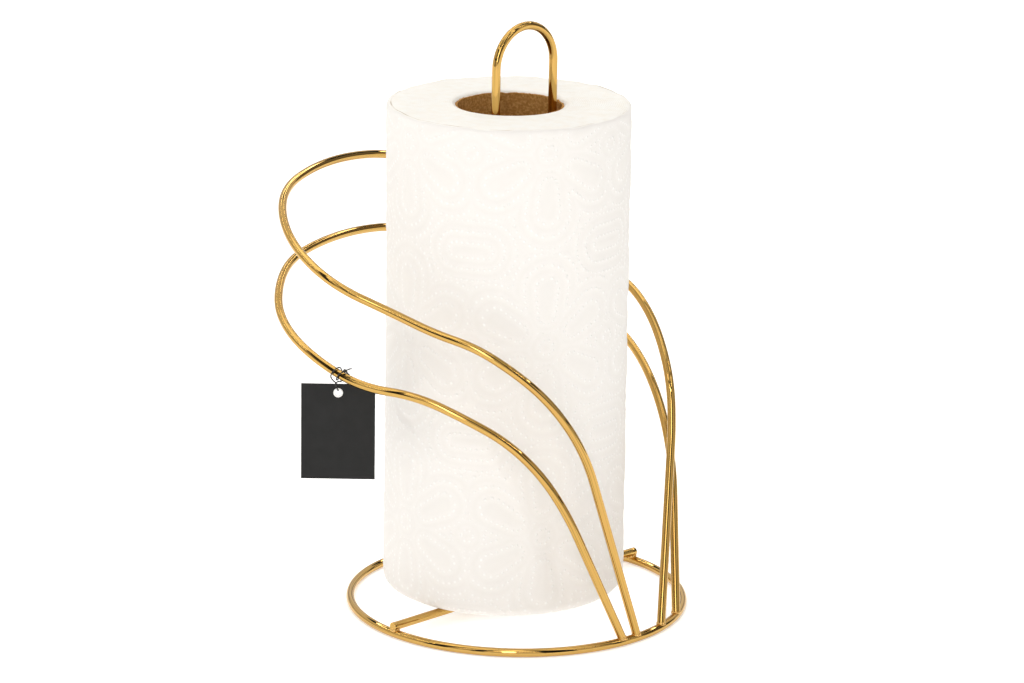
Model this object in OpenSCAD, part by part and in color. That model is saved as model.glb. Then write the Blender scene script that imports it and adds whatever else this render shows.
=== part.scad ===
/* [Wire] */
// Diameter of the plated steel wire that every frame piece is bent from
wire_d = 4; // [3:0.5:6]
// How far two welded wires melt into each other
weld_sink = 0.3; // [0.1:0.1:0.8]
// How much wider than the wire a weld nugget is
weld_bulge = 0.8; // [0.4:0.1:2]

/* [Base] */
// Outer diameter of the base ring
ring_d = 160; // [130:5:220]
// Place of the ring's butt joint, counted anticlockwise from the arms' side
seam_angle = 93; // [92:1:170]
// How far the crossbar's ends stop short of the ring's outer edge
bar_inset = 0.3; // [0:0.1:1.5]

/* [Post loop] */
// Overall height of the holder, to the top of the loop
post_h = 277; // [200:1:340]
// Room between each leg of the loop and the roll's core, with the roll centred
post_play = 3.8; // [2:0.1:6]

/* [Upper arm] */
// Height of the closed end's centre line
upper_h = 196; // [160:1:230]
// Turn of the arm's middle plane about the post
upper_turn = 12.5; // [0:0.5:20]
// Place of the front foot on the ring
upper_front_foot = 0; // [-3:0.5:5]
// Place of the back foot on the ring
upper_back_foot = 14; // [10:0.5:19]
// Closed end: along the middle plane, across it, drop below the closed end
upper_end = [-108, 0, 0]; // [-160:1:160]
// Bend at the side of the closed end
upper_bend_1 = [-97, 53, 7]; // [-160:1:160]
// Widest place
upper_bend_2 = [-56, 84, 26]; // [-160:1:160]
// Start of the straight run beside the roll
upper_bend_3 = [-9, 74, 46]; // [-160:1:160]
// Shoulder, where the run turns down
upper_bend_4 = [26, 63, 59]; // [-160:1:160]
// Middle of the shoulder
upper_bend_5 = [50, 48, 83]; // [-160:1:160]
// Top of the straight leg
upper_bend_6 = [62, 34, 118]; // [-160:1:160]

/* [Lower arm] */
// Height of the closed end's centre line
lower_h = 159; // [130:1:190]
// Turn of the arm's middle plane about the post
lower_turn = 9.5; // [0:0.5:20]
// Place of the front foot on the ring
lower_front_foot = -6.5; // [-12:0.5:-6]
// Place of the back foot on the ring
lower_back_foot = 27; // [22:0.5:32]
// Closed end: along the middle plane, across it, drop below the closed end
lower_end = [-107, 0, 0]; // [-160:1:160]
// Bend at the side of the closed end
lower_bend_1 = [-99, 51, 6]; // [-160:1:160]
// Bend before the widest place
lower_bend_2 = [-71, 83, 21]; // [-160:1:160]
// Widest place, where the tag hangs on the front side
lower_bend_3 = [-38, 88, 35]; // [-160:1:160]
// Shoulder, where the run turns down
lower_bend_4 = [10, 73, 46]; // [-160:1:160]
// Middle of the shoulder
lower_bend_5 = [41, 55, 67]; // [-160:1:160]
// Top of the straight leg
lower_bend_6 = [61, 39, 105]; // [-160:1:160]

/* [Paper roll] */
// Outer diameter of the wound paper
roll_d = 112; // [90:1:140]
// Height of the wound paper
roll_h = 230; // [180:1:280]
// Rounding of the paper's bottom edge
bottom_round = 5; // [1:0.5:8]
// Rounding of the paper's top edge
top_round = 1.5; // [0.5:0.5:8]
// Inner diameter of the cardboard core
core_id = 48; // [36:1:56]
// Wall of the cardboard core
core_wall = 1; // [0.6:0.1:2]
// How far the core's top edge lies below the paper's
core_recess = 1; // [0:0.5:5]
// Running clearance between the core and the paper that turns on it
core_gap = 0.1; // [0.05:0.05:0.5]
// Room left between the core and the loop's legs where the roll leans on them
lean_gap = 1.5; // [0.5:0.1:1.9]
// Clearance between the roll and the crossbar that it stands on
seat_gap = 0.2; // [0.1:0.1:1]

/* [Hang tag] */
// Width of the card
card_w = 33.5; // [20:0.5:50]
// Height of the card
card_h = 45; // [25:0.5:60]
// Thickness of the card
card_t = 0.5; // [0.3:0.1:1]
// Distance of the eyelet's centre below the card's top edge
eyelet_inset = 4.1; // [3:0.1:12]
// Outer diameter of the eyelet's flanges
eyelet_flange_d = 4.4; // [4:0.1:6]
// Outer diameter of the eyelet's barrel
eyelet_barrel_d = 3.4; // [3.2:0.1:3.8]
// Bore of the eyelet
eyelet_bore_d = 2.8; // [2.6:0.1:3]
// Thickness of the eyelet's flanges
eyelet_flange_t = 0.25; // [0.2:0.05:0.4]
// Direction that the card faces
tag_turn = 45; // [35:5:55]
// Diameter of the thread
thread_d = 0.7; // [0.5:0.1:0.8]
// Clearance between the wire and the thread's turn round it
thread_gap = 0.4; // [0.3:0.05:0.6]
// Clearance between the thread and the top of the eyelet's bore, which hangs on it
hang_gap = 0.1; // [0.05:0.05:0.2]
// Diameter of the knot
knot_d = 2; // [1.5:0.1:2.1]

/* [Hidden] */

gold = "goldenrod";
wire_fn = 32;
bend_fn = 96;
// A joining disc is this much wider than the wire, and this long
lap_extra = 0.02;
lap_len = 0.2;

ring_r = ring_d / 2 - wire_d / 2;
bar_z = wire_d * 1.5 - weld_sink;
bar_top = bar_z + wire_d / 2;
leg_y = core_id / 2 - wire_d / 2 - post_play;
arch_z = post_h - wire_d / 2 - leg_y;
post_bottom = bar_top - weld_sink;
foot_z = wire_d - weld_sink;

core_r = core_id / 2 + core_wall;
roll_z = bar_top + seat_gap;
// The core leans back until its bore is lean_gap from both legs
roll_x = -sqrt(pow(core_id / 2 - wire_d / 2 - lean_gap, 2) - pow(leg_y, 2));

upper_bends = [
  upper_end, upper_bend_1, upper_bend_2, upper_bend_3, upper_bend_4, upper_bend_5, upper_bend_6
];
lower_bends = [
  lower_end, lower_bend_1, lower_bend_2, lower_bend_3, lower_bend_4, lower_bend_5, lower_bend_6
];
hang_bend = 3;
// The arms' bends are drawn round a roll of this diameter, and move out or in with another
drawn_roll_d = 112;

// The thread's route, drawn for a turn of this radius: X across the card, Y through it, Z up,
// from the wire's centre. One end, the knot, a full turn round the wire, down behind the card,
// through the eyelet, up in front of the card, over the wire again and through the knot
drawn_turn_r = 2.75;
drawn_route = [
  [6.2, -3.7, 3.6], [5.0, -3.6, 3.3], [3.8, -3.4, 2.7], [2.6, -3.1, 1.9],
  [1.8, -3.0, 1.5], [0.6, -3.2, 0.7], [-0.3, -3.1, -0.5], [-0.7, -2.4, -1.7],
  [-0.6, -1.1, -2.6], [-0.1, 0.4, -2.8], [0.6, 1.6, -2.1], [1.2, 2.3, -0.9],
  [1.4, 2.3, 0.6], [1.1, 1.6, 2.0], [0.4, 0.5, 2.8], [-0.6, -0.7, 2.8],
  [-1.8, -1.4, 2.0], [-2.7, -1.5, 0.9], [-3.3, -0.9, -0.5], [-3.2, -0.3, -1.9],
  [-2.5, 0.2, -3.1], [-1.6, 0.7, -4.1], [-0.8, 1.0, -5.0], [-0.1, 1.1, -6.1],
  [0.1, 1.1, -7.2], [0.0, 0.8, -7.8], [0.0, 0.0, -7.9], [0.0, -0.8, -7.8],
  [-0.2, -1.1, -7.1], [-0.8, -1.1, -5.9], [-1.2, -1.2, -4.7], [-0.7, -1.2, -3.7],
  [0.3, -1.1, -3.3], [1.3, -0.4, -3.4], [2.4, 0.6, -2.9], [3.2, 1.0, -1.7],
  [3.8, 0.8, -0.3], [3.9, -0.1, 1.1], [3.4, -1.3, 2.1], [3.0, -2.2, 2.6],
  [3.6, -3.2, 1.9], [4.5, -4.0, 1.3], [5.3, -4.4, 0.7]
];
drawn_knot = [2.9, -2.7, 2.2];
thread_scale = (wire_d / 2 + thread_d / 2 + thread_gap) / drawn_turn_r;
thread_route = drawn_route * thread_scale;
thread_low = min([for (p = thread_route) p.z]);
eyelet_z = thread_low + thread_d / 2 + hang_gap - eyelet_bore_d / 2;
card_top = eyelet_z + eyelet_inset;
thread_sides = 8;

function unit(v) = v / norm(v);
function turned(p, angle) =
  [p.x * cos(angle) - p.y * sin(angle), p.x * sin(angle) + p.y * cos(angle), p.z];
function ring_point(angle) = [ring_r * cos(angle), ring_r * sin(angle), foot_z];

function moved_out(b) =
  let (grow = 1 + (roll_d - drawn_roll_d) / 2 / norm([b.x, b.y])) [b.x * grow, b.y * grow, b.z];

// Half an arm, from its closed end to its foot: side is 1 at the back, -1 at the front
function arm_route(bends, height, turn, side, foot) =
  concat(
    [for (bend = bends) let (b = moved_out(bend)) turned([b.x, side * b.y, height - b.z], turn)],
    [ring_point(foot)]
  );

// The wire's direction at each point: across the middle plane at the closed end, along the
// circle through three points at a bend, and straight from the last bend to the foot
function route_directions(route, first) =
  let (last = len(route) - 1)
  [for (i = [0 : last])
    i == 0 ? first
    : i >= last - 1 ? unit(route[last] - route[last - 1])
    : let (before = route[i] - route[i - 1], after = route[i + 1] - route[i])
      unit(before / (before * before) + after / (after * after))
  ];

// Length of both handles of the two equal-handled arcs that join two points
function arc_handle(chord, start_dir, end_dir) =
  let (both = start_dir + end_dir, k = 2 * (1 - start_dir * end_dir), along = chord * both)
  (sqrt(along * along + k * (chord * chord)) - along) / k;

lower_front_route = arm_route(lower_bends, lower_h, lower_turn, -1, lower_front_foot);
lower_front_dirs = route_directions(lower_front_route, turned([0, -1, 0], lower_turn));
hang_point = lower_front_route[hang_bend];

// Puts children in a frame with the given origin and axes
module in_frame(origin, x_axis, y_axis, z_axis) {
  multmatrix([
    [x_axis.x, y_axis.x, z_axis.x, origin.x],
    [x_axis.y, y_axis.y, z_axis.y, origin.y],
    [x_axis.z, y_axis.z, z_axis.z, origin.z],
    [0, 0, 0, 1]
  ])
    children();
}

// Puts children with their Z along a direction
module along(origin, direction) {
  side = unit(cross([0, 0, 1], direction));
  in_frame(origin, cross(side, direction), side, direction) children();
}

// One arc of wire from start, leaving along direction, to end
module wire_bend(start, direction, end) {
  chord = end - start;
  inward = unit(chord - (chord * direction) * direction);
  radius = (chord * chord) / (2 * (chord * inward));
  turn = 2 * atan2(chord * inward, chord * direction);
  in_frame(start + radius * inward, -inward, direction, cross(-inward, direction))
    rotate_extrude(angle = turn, $fn = bend_fn)
      translate([radius, 0])
        circle(d = wire_d, $fn = wire_fn);
}

// A short disc that laps the ends of two neighbouring stretches and joins them
module lap(point, direction) {
  along(point, direction)
    cylinder(d = wire_d + lap_extra, h = lap_len, center = true, $fn = wire_fn);
}

// Half an arm: two arcs between each pair of points, then the straight leg
module half_arm(route, dirs) {
  knee = len(route) - 2;
  for (i = [0 : knee - 1]) {
    handle = arc_handle(route[i + 1] - route[i], dirs[i], dirs[i + 1]);
    near = route[i] + handle * dirs[i];
    far = route[i + 1] - handle * dirs[i + 1];
    middle = (near + far) / 2;
    wire_bend(route[i], dirs[i], middle);
    lap(middle, unit(far - near));
    wire_bend(middle, unit(far - near), route[i + 1]);
    lap(route[i + 1], dirs[i + 1]);
  }
  along(route[knee], dirs[knee])
    cylinder(d = wire_d, h = norm(route[knee + 1] - route[knee]), $fn = wire_fn);
}

module arm(bends, height, turn, front_foot, back_foot) {
  for (half = [[-1, front_foot], [1, back_foot]]) {
    route = arm_route(bends, height, turn, half[0], half[1]);
    half_arm(route, route_directions(route, turned([0, half[0], 0], turn)));
  }
  lap(turned([moved_out(bends[0]).x, 0, height], turn), turned([0, 1, 0], turn));
}

module nugget(point) {
  color(gold)
    translate(point)
      sphere(d = wire_d + weld_bulge, $fn = 48);
}

module base_ring() {
  color(gold)
    translate([0, 0, wire_d / 2])
      rotate_extrude($fn = bend_fn)
        translate([ring_r, 0])
          circle(d = wire_d, $fn = wire_fn);
}

// The crossbar lies on the ring
module crossbar() {
  color(gold)
    translate([0, 0, bar_z])
      rotate([90, 0, 0])
        cylinder(d = wire_d, h = ring_d - 2 * bar_inset, center = true, $fn = wire_fn);
}

// An upside-down U that stands on the crossbar
module post_loop() {
  color(gold) {
    for (side = [-1, 1])
      translate([0, side * leg_y, post_bottom])
        cylinder(d = wire_d, h = arch_z - post_bottom, $fn = wire_fn);
    translate([0, 0, arch_z])
      rotate([90, 0, 90])
        rotate_extrude(angle = 180, $fn = bend_fn)
          translate([leg_y, 0])
            circle(d = wire_d, $fn = wire_fn);
  }
}

module upper_arm() {
  color(gold)
    arm(upper_bends, upper_h, upper_turn, upper_front_foot, upper_back_foot);
}

module lower_arm() {
  color(gold)
    arm(lower_bends, lower_h, lower_turn, lower_front_foot, lower_back_foot);
}

// The flash of the butt weld that closes the ring
module ring_seam_weld() {
  seam_len = 0.8;
  seam_d = wire_d + 0.4;
  color(gold)
    rotate([0, 0, seam_angle])
      translate([ring_r, 0, wire_d / 2])
        rotate([90, 0, 0])
          cylinder(d = seam_d, h = seam_len, center = true, $fn = wire_fn);
}

// Cardboard tube that the paper is wound on
module roll_core() {
  color("tan")
    translate([roll_x, 0, roll_z])
      difference() {
        cylinder(r = core_r, h = roll_h - core_recess, $fn = bend_fn);
        translate([0, 0, -1])
          cylinder(d = core_id, h = roll_h + 2, $fn = bend_fn);
      }
}

// A square corner piece less the circle that rounds it, for cutting a profile's corner
module corner_cut(radius) {
  difference() {
    square(2 * radius);
    circle(r = radius, $fn = 64);
  }
}

// The wound paper, as one thick tube with rounded outer edges
module paper_roll() {
  inner_r = core_r + core_gap;
  color("white")
    translate([roll_x, 0, roll_z])
      rotate_extrude($fn = bend_fn)
        difference() {
          translate([inner_r, 0])
            square([roll_d / 2 - inner_r, roll_h]);
          translate([roll_d / 2 - top_round, roll_h - top_round])
            corner_cut(top_round);
          translate([roll_d / 2 - bottom_round, bottom_round])
            mirror([0, 1])
              corner_cut(bottom_round);
        }
}

// Puts the tag's pieces under the lower arm: X across the card, Y through it, Z up
module at_hang_point() {
  translate(hang_point)
    rotate([0, 0, tag_turn])
      children();
}

module tag_card() {
  color("dimgray")
    at_hang_point()
      difference() {
        translate([-card_w / 2, -card_t / 2, card_top - card_h])
          cube([card_w, card_t, card_h]);
        translate([0, 0, eyelet_z])
          rotate([90, 0, 0])
            cylinder(d = eyelet_barrel_d, h = card_t + 2, center = true, $fn = 48);
      }
}

// A barrel through the card, with a flange on each face
module tag_eyelet() {
  color("whitesmoke")
    at_hang_point()
      translate([0, 0, eyelet_z])
        rotate([90, 0, 0])
          difference() {
            union() {
              cylinder(d = eyelet_barrel_d, h = card_t + eyelet_flange_t, center = true, $fn = 48);
              for (face = [card_t / 2, -card_t / 2 - eyelet_flange_t])
                translate([0, 0, face])
                  cylinder(d = eyelet_flange_d, h = eyelet_flange_t, $fn = 48);
            }
            cylinder(d = eyelet_bore_d, h = card_t + 2, center = true, $fn = 48);
          }
}

// The thread's direction at each point of its route
thread_dirs = [for (i = [0 : len(thread_route) - 1])
  unit(thread_route[min(i + 1, len(thread_route) - 1)] - thread_route[max(i - 1, 0)])
];

// Square to each direction, and carried along the route so that the tube doesn't twist
function carried(dirs, i, side) =
  i == len(dirs) ? []
  : let (here = unit(side - (side * dirs[i]) * dirs[i]))
    concat([here], carried(dirs, i + 1, here));

// A tube with flat ends, as one closed mesh
module tube(route, dirs, diameter, sides) {
  out = carried(dirs, 0, [0, 0, 1]);
  rings = len(route);
  points = [for (i = [0 : rings - 1])
    for (k = [0 : sides - 1])
      let (angle = 360 * k / sides)
      route[i] + diameter / 2 * (cos(angle) * out[i] + sin(angle) * cross(dirs[i], out[i]))
  ];
  walls = [for (i = [0 : rings - 2])
    for (k = [0 : sides - 1])
      let (a = i * sides + k, b = i * sides + (k + 1) % sides)
      [a, a + sides, b + sides, b]
  ];
  first_end = [for (k = [0 : sides - 1]) k];
  last_end = [for (k = [sides - 1 : -1 : 0]) (rings - 1) * sides + k];
  polyhedron(points, concat(walls, [first_end, last_end]), convexity = 6);
}

module tag_thread() {
  color("black")
    at_hang_point()
      tube(thread_route, thread_dirs, thread_d, thread_sides);
}

module tag_knot() {
  color("black")
    at_hang_point()
      translate(drawn_knot * thread_scale)
        sphere(d = knot_d, $fn = 32);
}

base_ring();
crossbar();
post_loop();
upper_arm();
lower_arm();
ring_seam_weld();
nugget([0, -ring_r, wire_d]);  // crossbar_front_weld
nugget([0, ring_r, wire_d]);  // crossbar_back_weld
nugget([0, -leg_y, post_bottom]);  // post_front_weld
nugget([0, leg_y, post_bottom]);  // post_back_weld
nugget(ring_point(upper_front_foot));  // upper_arm_front_weld
nugget(ring_point(upper_back_foot));  // upper_arm_back_weld
nugget(ring_point(lower_front_foot));  // lower_arm_front_weld
nugget(ring_point(lower_back_foot));  // lower_arm_back_weld
roll_core();
paper_roll();
tag_card();
tag_eyelet();
tag_thread();
tag_knot();
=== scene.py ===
"""A gold wire paper towel holder with its roll of paper and its hang tag.

Every length in this file is in millimetres until in_metres() or MM turns it to metres.
"""

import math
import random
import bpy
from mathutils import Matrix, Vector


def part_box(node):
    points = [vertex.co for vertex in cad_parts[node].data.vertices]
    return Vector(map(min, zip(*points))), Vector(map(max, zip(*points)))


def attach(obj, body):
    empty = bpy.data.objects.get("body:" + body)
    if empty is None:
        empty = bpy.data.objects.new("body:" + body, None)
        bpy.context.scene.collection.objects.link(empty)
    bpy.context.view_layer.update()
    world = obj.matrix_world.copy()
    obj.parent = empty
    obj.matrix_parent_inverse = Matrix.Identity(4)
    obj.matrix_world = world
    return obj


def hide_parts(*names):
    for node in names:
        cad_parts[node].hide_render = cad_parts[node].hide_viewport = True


bl_info = {
    "name": "Wire paper towel holder",
    "version": (1, 0, 0),
    "blender": (4, 5, 0),
    "location": "3D View > Sidebar > Towel holder",
    "description": "Builds the plated wires, the paper roll, the hang tag and the studio",
    "category": "Object",
}

import bmesh
import bpy
import numpy as np
from bpy.props import FloatProperty, FloatVectorProperty, IntProperty, PointerProperty
from mathutils import Matrix, Vector, noise

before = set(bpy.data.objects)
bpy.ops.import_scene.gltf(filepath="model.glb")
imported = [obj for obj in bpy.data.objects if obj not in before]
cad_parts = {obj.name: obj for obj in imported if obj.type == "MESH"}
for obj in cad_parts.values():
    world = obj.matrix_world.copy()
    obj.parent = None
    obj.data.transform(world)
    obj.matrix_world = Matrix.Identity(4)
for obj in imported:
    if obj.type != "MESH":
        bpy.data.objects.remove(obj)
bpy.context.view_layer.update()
MM = 0.001

# ---------------------------------------------------------------- places that the frame gives

BAR_LOW, BAR_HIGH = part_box("crossbar")
RING_LOW, RING_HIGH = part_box("base_ring")
POST_LOW, POST_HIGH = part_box("post_loop")
CORE_LOW, CORE_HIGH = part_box("roll_core")
PAPER_LOW, PAPER_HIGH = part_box("paper_roll")
CARD_LOW, CARD_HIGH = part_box("tag_card")
SEAM_LOW, SEAM_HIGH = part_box("ring_seam_weld")

WIRE_D = (BAR_HIGH.z - BAR_LOW.z) / MM
RING_R = (RING_HIGH.x - RING_LOW.x) / MM / 2 - WIRE_D / 2
BAR_Z = (BAR_HIGH.z + BAR_LOW.z) / MM / 2
BAR_HALF = BAR_HIGH.y / MM
LEG_Y = POST_HIGH.y / MM - WIRE_D / 2
ARCH_Z = POST_HIGH.z / MM - WIRE_D / 2 - LEG_Y
POST_BOTTOM = POST_LOW.z / MM
FOOT_Z = 3.7
ROLL_X = (PAPER_HIGH.x + PAPER_LOW.x) / MM / 2
ROLL_Z = PAPER_LOW.z / MM
ROLL_R = (PAPER_HIGH.x - PAPER_LOW.x) / MM / 2
ROLL_H = (PAPER_HIGH.z - PAPER_LOW.z) / MM
CORE_R = (CORE_HIGH.x - CORE_LOW.x) / MM / 2
CORE_H = (CORE_HIGH.z - CORE_LOW.z) / MM
CORE_WALL = 1.0
CORE_GAP = 0.1
CARD_T = 0.5
CARD_HOLE_R = 1.7

# The guard arms' bends, from the closed end to the top of each straight leg: along the arm's
# middle plane, across it, and drop below the closed end
UPPER_ARM = {
    "bends": [
        (-108, 0, 0), (-97, 53, 7), (-56, 84, 26), (-9, 74, 46),
        (26, 63, 59), (50, 48, 83), (62, 34, 118),
    ],
    "height": 196,
    "turn": 12.5,
    "front_foot": 0,
    "back_foot": 14,
}
LOWER_ARM = {
    "bends": [
        (-107, 0, 0), (-99, 51, 6), (-71, 83, 21), (-38, 88, 35),
        (10, 73, 46), (41, 55, 67), (61, 39, 105),
    ],
    "height": 159,
    "turn": 9.5,
    "front_foot": -6.5,
    "back_foot": 27,
}
HANG_BEND = 3

# The thread's route in the tag's own frame: X across the card, Y through it, Z up, from the
# wire's centre. One end, the knot, a turn round the wire, down behind the card, through the
# eyelet, up in front, over the wire again and through the knot
THREAD_ROUTE = [
    (6.2, -3.7, 3.6), (5.0, -3.6, 3.3), (3.8, -3.4, 2.7), (2.6, -3.1, 1.9),
    (1.8, -3.0, 1.5), (0.6, -3.2, 0.7), (-0.3, -3.1, -0.5), (-0.7, -2.4, -1.7),
    (-0.6, -1.1, -2.6), (-0.1, 0.4, -2.8), (0.6, 1.6, -2.1), (1.2, 2.3, -0.9),
    (1.4, 2.3, 0.6), (1.1, 1.6, 2.0), (0.4, 0.5, 2.8), (-0.6, -0.7, 2.8),
    (-1.8, -1.4, 2.0), (-2.7, -1.5, 0.9), (-3.3, -0.9, -0.5), (-3.2, -0.3, -1.9),
    (-2.5, 0.2, -3.1), (-1.6, 0.7, -4.1), (-0.8, 1.0, -5.0), (-0.1, 1.1, -6.1),
    (0.1, 1.1, -7.2), (0.0, 0.8, -7.8), (0.0, 0.0, -7.9), (0.0, -0.8, -7.8),
    (-0.2, -1.1, -7.1), (-0.8, -1.1, -5.9), (-1.2, -1.2, -4.7), (-0.7, -1.2, -3.7),
    (0.3, -1.1, -3.3), (1.3, -0.4, -3.4), (2.4, 0.6, -2.9), (3.2, 1.0, -1.7),
    (3.8, 0.8, -0.3), (3.9, -0.1, 1.1), (3.4, -1.3, 2.1), (3.0, -2.2, 2.6),
    (3.6, -3.2, 1.9), (4.5, -4.0, 1.3), (5.3, -4.4, 0.7),
]
KNOT_PLACE = (2.9, -2.7, 2.2)
EYELET_Z = -8.85
CARD_TURN = 45


# ---------------------------------------------------------------- sizes and colours to change


def linear(hex_colour):
    """A linear RGB colour from an sRGB hex value."""
    parts = [int(hex_colour[i:i + 2], 16) / 255 for i in (1, 3, 5)]
    return [c / 12.92 if c <= 0.04045 else ((c + 0.055) / 1.055) ** 2.4 for c in parts]


class WireSettings(bpy.types.PropertyGroup):
    """How the bent wires and their welds are meshed and coloured."""

    sides: IntProperty(
        name="Sides", description="Faces round a wire", default=32, min=12, max=48
    )
    step: FloatProperty(
        name="Step", description="Longest stretch of a bend between two rings, in mm",
        default=2.6, min=1, max=8,
    )
    gold: FloatVectorProperty(
        name="Gold", description="Colour of the gold plating", subtype="COLOR",
        default=linear("#C9A25A"), min=0, max=1,
    )
    weld_gold: FloatVectorProperty(
        name="Weld gold", description="Colour of the plating over a weld", subtype="COLOR",
        default=linear("#DDB26C"), min=0, max=1,
    )


class RollSettings(bpy.types.PropertyGroup):
    """The wound paper, its embossing and its core."""

    around: IntProperty(
        name="Around", description="Faces round the roll", default=360, min=90, max=420
    )
    up: IntProperty(
        name="Up", description="Faces up the roll's side", default=226, min=40, max=260
    )
    dot_pitch: FloatProperty(
        name="Dot pitch", description="Distance between two embossed dots, in mm",
        default=2.6, min=1.5, max=5,
    )
    dot_size: FloatProperty(
        name="Dot size", description="Diameter of an embossed dot, in mm",
        default=1.7, min=0.6, max=3,
    )
    dot_height: FloatProperty(
        name="Dot height", description="How far a dot stands proud, in mm",
        default=0.2, min=0.05, max=0.8,
    )
    ring_pitch: FloatProperty(
        name="Ring pitch", description="Distance between two dotted outlines, in mm",
        default=5.2, min=3, max=8,
    )
    flowers: IntProperty(
        name="Flowers", description="Embossed flowers round the roll", default=5, min=3, max=7
    )
    flower_rise: FloatProperty(
        name="Flower rise", description="Distance between two rows of flowers, in mm",
        default=90, min=70, max=120,
    )
    paper: FloatVectorProperty(
        name="Paper", description="Colour of the tissue paper", subtype="COLOR",
        default=linear("#F3F0ED"), min=0, max=1,
    )
    # Painted light: the roll's ends are coloured lighter than the side's paper, standing in for
    # the brighter light on the top
    sawn: FloatVectorProperty(
        name="Sawn end", description="Colour of the roll's sawn ends", subtype="COLOR",
        default=linear("#FDFCF9"), min=0, max=1,
    )
    board: FloatVectorProperty(
        name="Core board", description="Colour of the core's grey board", subtype="COLOR",
        default=linear("#BE8C4C"), min=0, max=1,
    )


class TagSettings(bpy.types.PropertyGroup):
    """The hang tag's card, eyelet and thread."""

    card: FloatVectorProperty(
        name="Card", description="Colour of the dyed card", subtype="COLOR",
        default=linear("#292929"), min=0, max=1,
    )
    eyelet: FloatVectorProperty(
        name="Eyelet", description="Colour of the enamelled eyelet", subtype="COLOR",
        default=linear("#F4F4F2"), min=0, max=1,
    )
    thread: FloatVectorProperty(
        name="Thread", description="Colour of the cotton thread", subtype="COLOR",
        default=linear("#141414"), min=0, max=1,
    )
    thread_d: FloatProperty(
        name="Thread diameter", description="Diameter of the thread, in mm",
        default=0.7, min=0.4, max=0.8,
    )


class StudioSettings(bpy.types.PropertyGroup):
    """Camera and light."""

    azimuth: FloatProperty(
        name="Azimuth", description="Side that the camera stands on, from the front",
        default=math.radians(45), subtype="ANGLE",
    )
    distance: FloatProperty(
        name="Distance", description="Distance of the camera from the post, level",
        default=1.97541, min=0.5, unit="LENGTH",
    )
    height: FloatProperty(
        name="Height", description="Height of the camera over the floor",
        default=0.69763, min=0, unit="LENGTH",
    )
    pitch: FloatProperty(
        name="Pitch", description="How far the camera looks down",
        default=math.radians(16.136), subtype="ANGLE",
    )
    pan: FloatProperty(
        name="Pan", description="Turn of the camera away from the post",
        default=-0.002, subtype="ANGLE",
    )
    roll: FloatProperty(
        name="Roll", description="Tilt of the camera about its own axis",
        default=math.radians(0.885), subtype="ANGLE",
    )
    lens: FloatProperty(name="Lens", description="Focal length, in mm", default=156.5, min=20)
    wall_light: FloatProperty(
        name="Wall light", description="Brightness of the white room", default=1.0, min=0
    )
    key_light: FloatProperty(
        name="Key light", description="Power of the tall narrow lamp, in watts",
        default=5, min=0,
    )
    floor: FloatVectorProperty(
        name="Floor", description="Colour of the studio floor", subtype="COLOR",
        default=linear("#FCFCFC"), min=0, max=1,
    )


class HolderSettings(bpy.types.PropertyGroup):
    """All settings of the towel holder."""

    wire: PointerProperty(type=WireSettings)
    roll: PointerProperty(type=RollSettings)
    tag: PointerProperty(type=TagSettings)
    studio: PointerProperty(type=StudioSettings)


# ---------------------------------------------------------------- small helpers


def new_piece(name, bm, materials, body, nodes, sharp_angle=50):
    """Turns a bmesh into a finished piece that rides on a body and stands for CAD nodes."""
    mesh = bpy.data.meshes.new(name)
    bm.to_mesh(mesh)
    bm.free()
    mesh.shade_smooth()
    mesh.set_sharp_from_angle(angle=math.radians(sharp_angle))
    for material in materials:
        mesh.materials.append(material)
    piece = bpy.data.objects.new(name, mesh)
    bpy.context.scene.collection.objects.link(piece)
    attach(piece, body)
    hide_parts(*nodes)
    return piece


def in_metres(bm):
    """Scales a bmesh drawn in millimetres to metres."""
    bmesh.ops.scale(bm, vec=(MM, MM, MM), verts=bm.verts)


def verts_of(edges):
    return list({v for e in edges for v in e.verts})


def set_sockets(tree, node, values):
    """Sets a node's inputs by name or number. Each value is a number, a colour, a socket, a
    node (its first output in use) or None."""
    for key, value in values.items():
        if isinstance(value, bpy.types.Node):
            value = next(output for output in value.outputs if output.enabled)
        if isinstance(value, bpy.types.NodeSocket):
            tree.links.new(value, node.inputs[key])
        elif value is not None:
            node.inputs[key].default_value = value


def add_node(tree, kind, *inputs, sockets=None, **settings):
    """Adds a node with its settings. Its inputs come in the sockets' order or by name."""
    made = tree.nodes.new(kind)
    for name, value in settings.items():
        setattr(made, name, value)
    set_sockets(tree, made, {**dict(enumerate(inputs)), **(sockets or {})})
    return made


def new_material(name, colour, roughness, metallic=0.0, specular=None):
    """A material with one Principled shader. Returns it with its tree and its shader."""
    material = bpy.data.materials.new(name)
    material.use_nodes = True
    tree = material.node_tree
    shader = tree.nodes["Principled BSDF"]
    shader.inputs["Base Color"].default_value = (*colour, 1)
    shader.inputs["Roughness"].default_value = roughness
    shader.inputs["Metallic"].default_value = metallic
    if specular is not None:
        shader.inputs["Specular IOR Level"].default_value = specular
    material.diffuse_color = (*colour, 1)
    return material, tree, shader


def finish(name, maker, *colours):
    """A finish that several pieces share, made once."""
    return bpy.data.materials.get(name) or maker(*colours)


# ---------------------------------------------------------------- finishes


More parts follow.
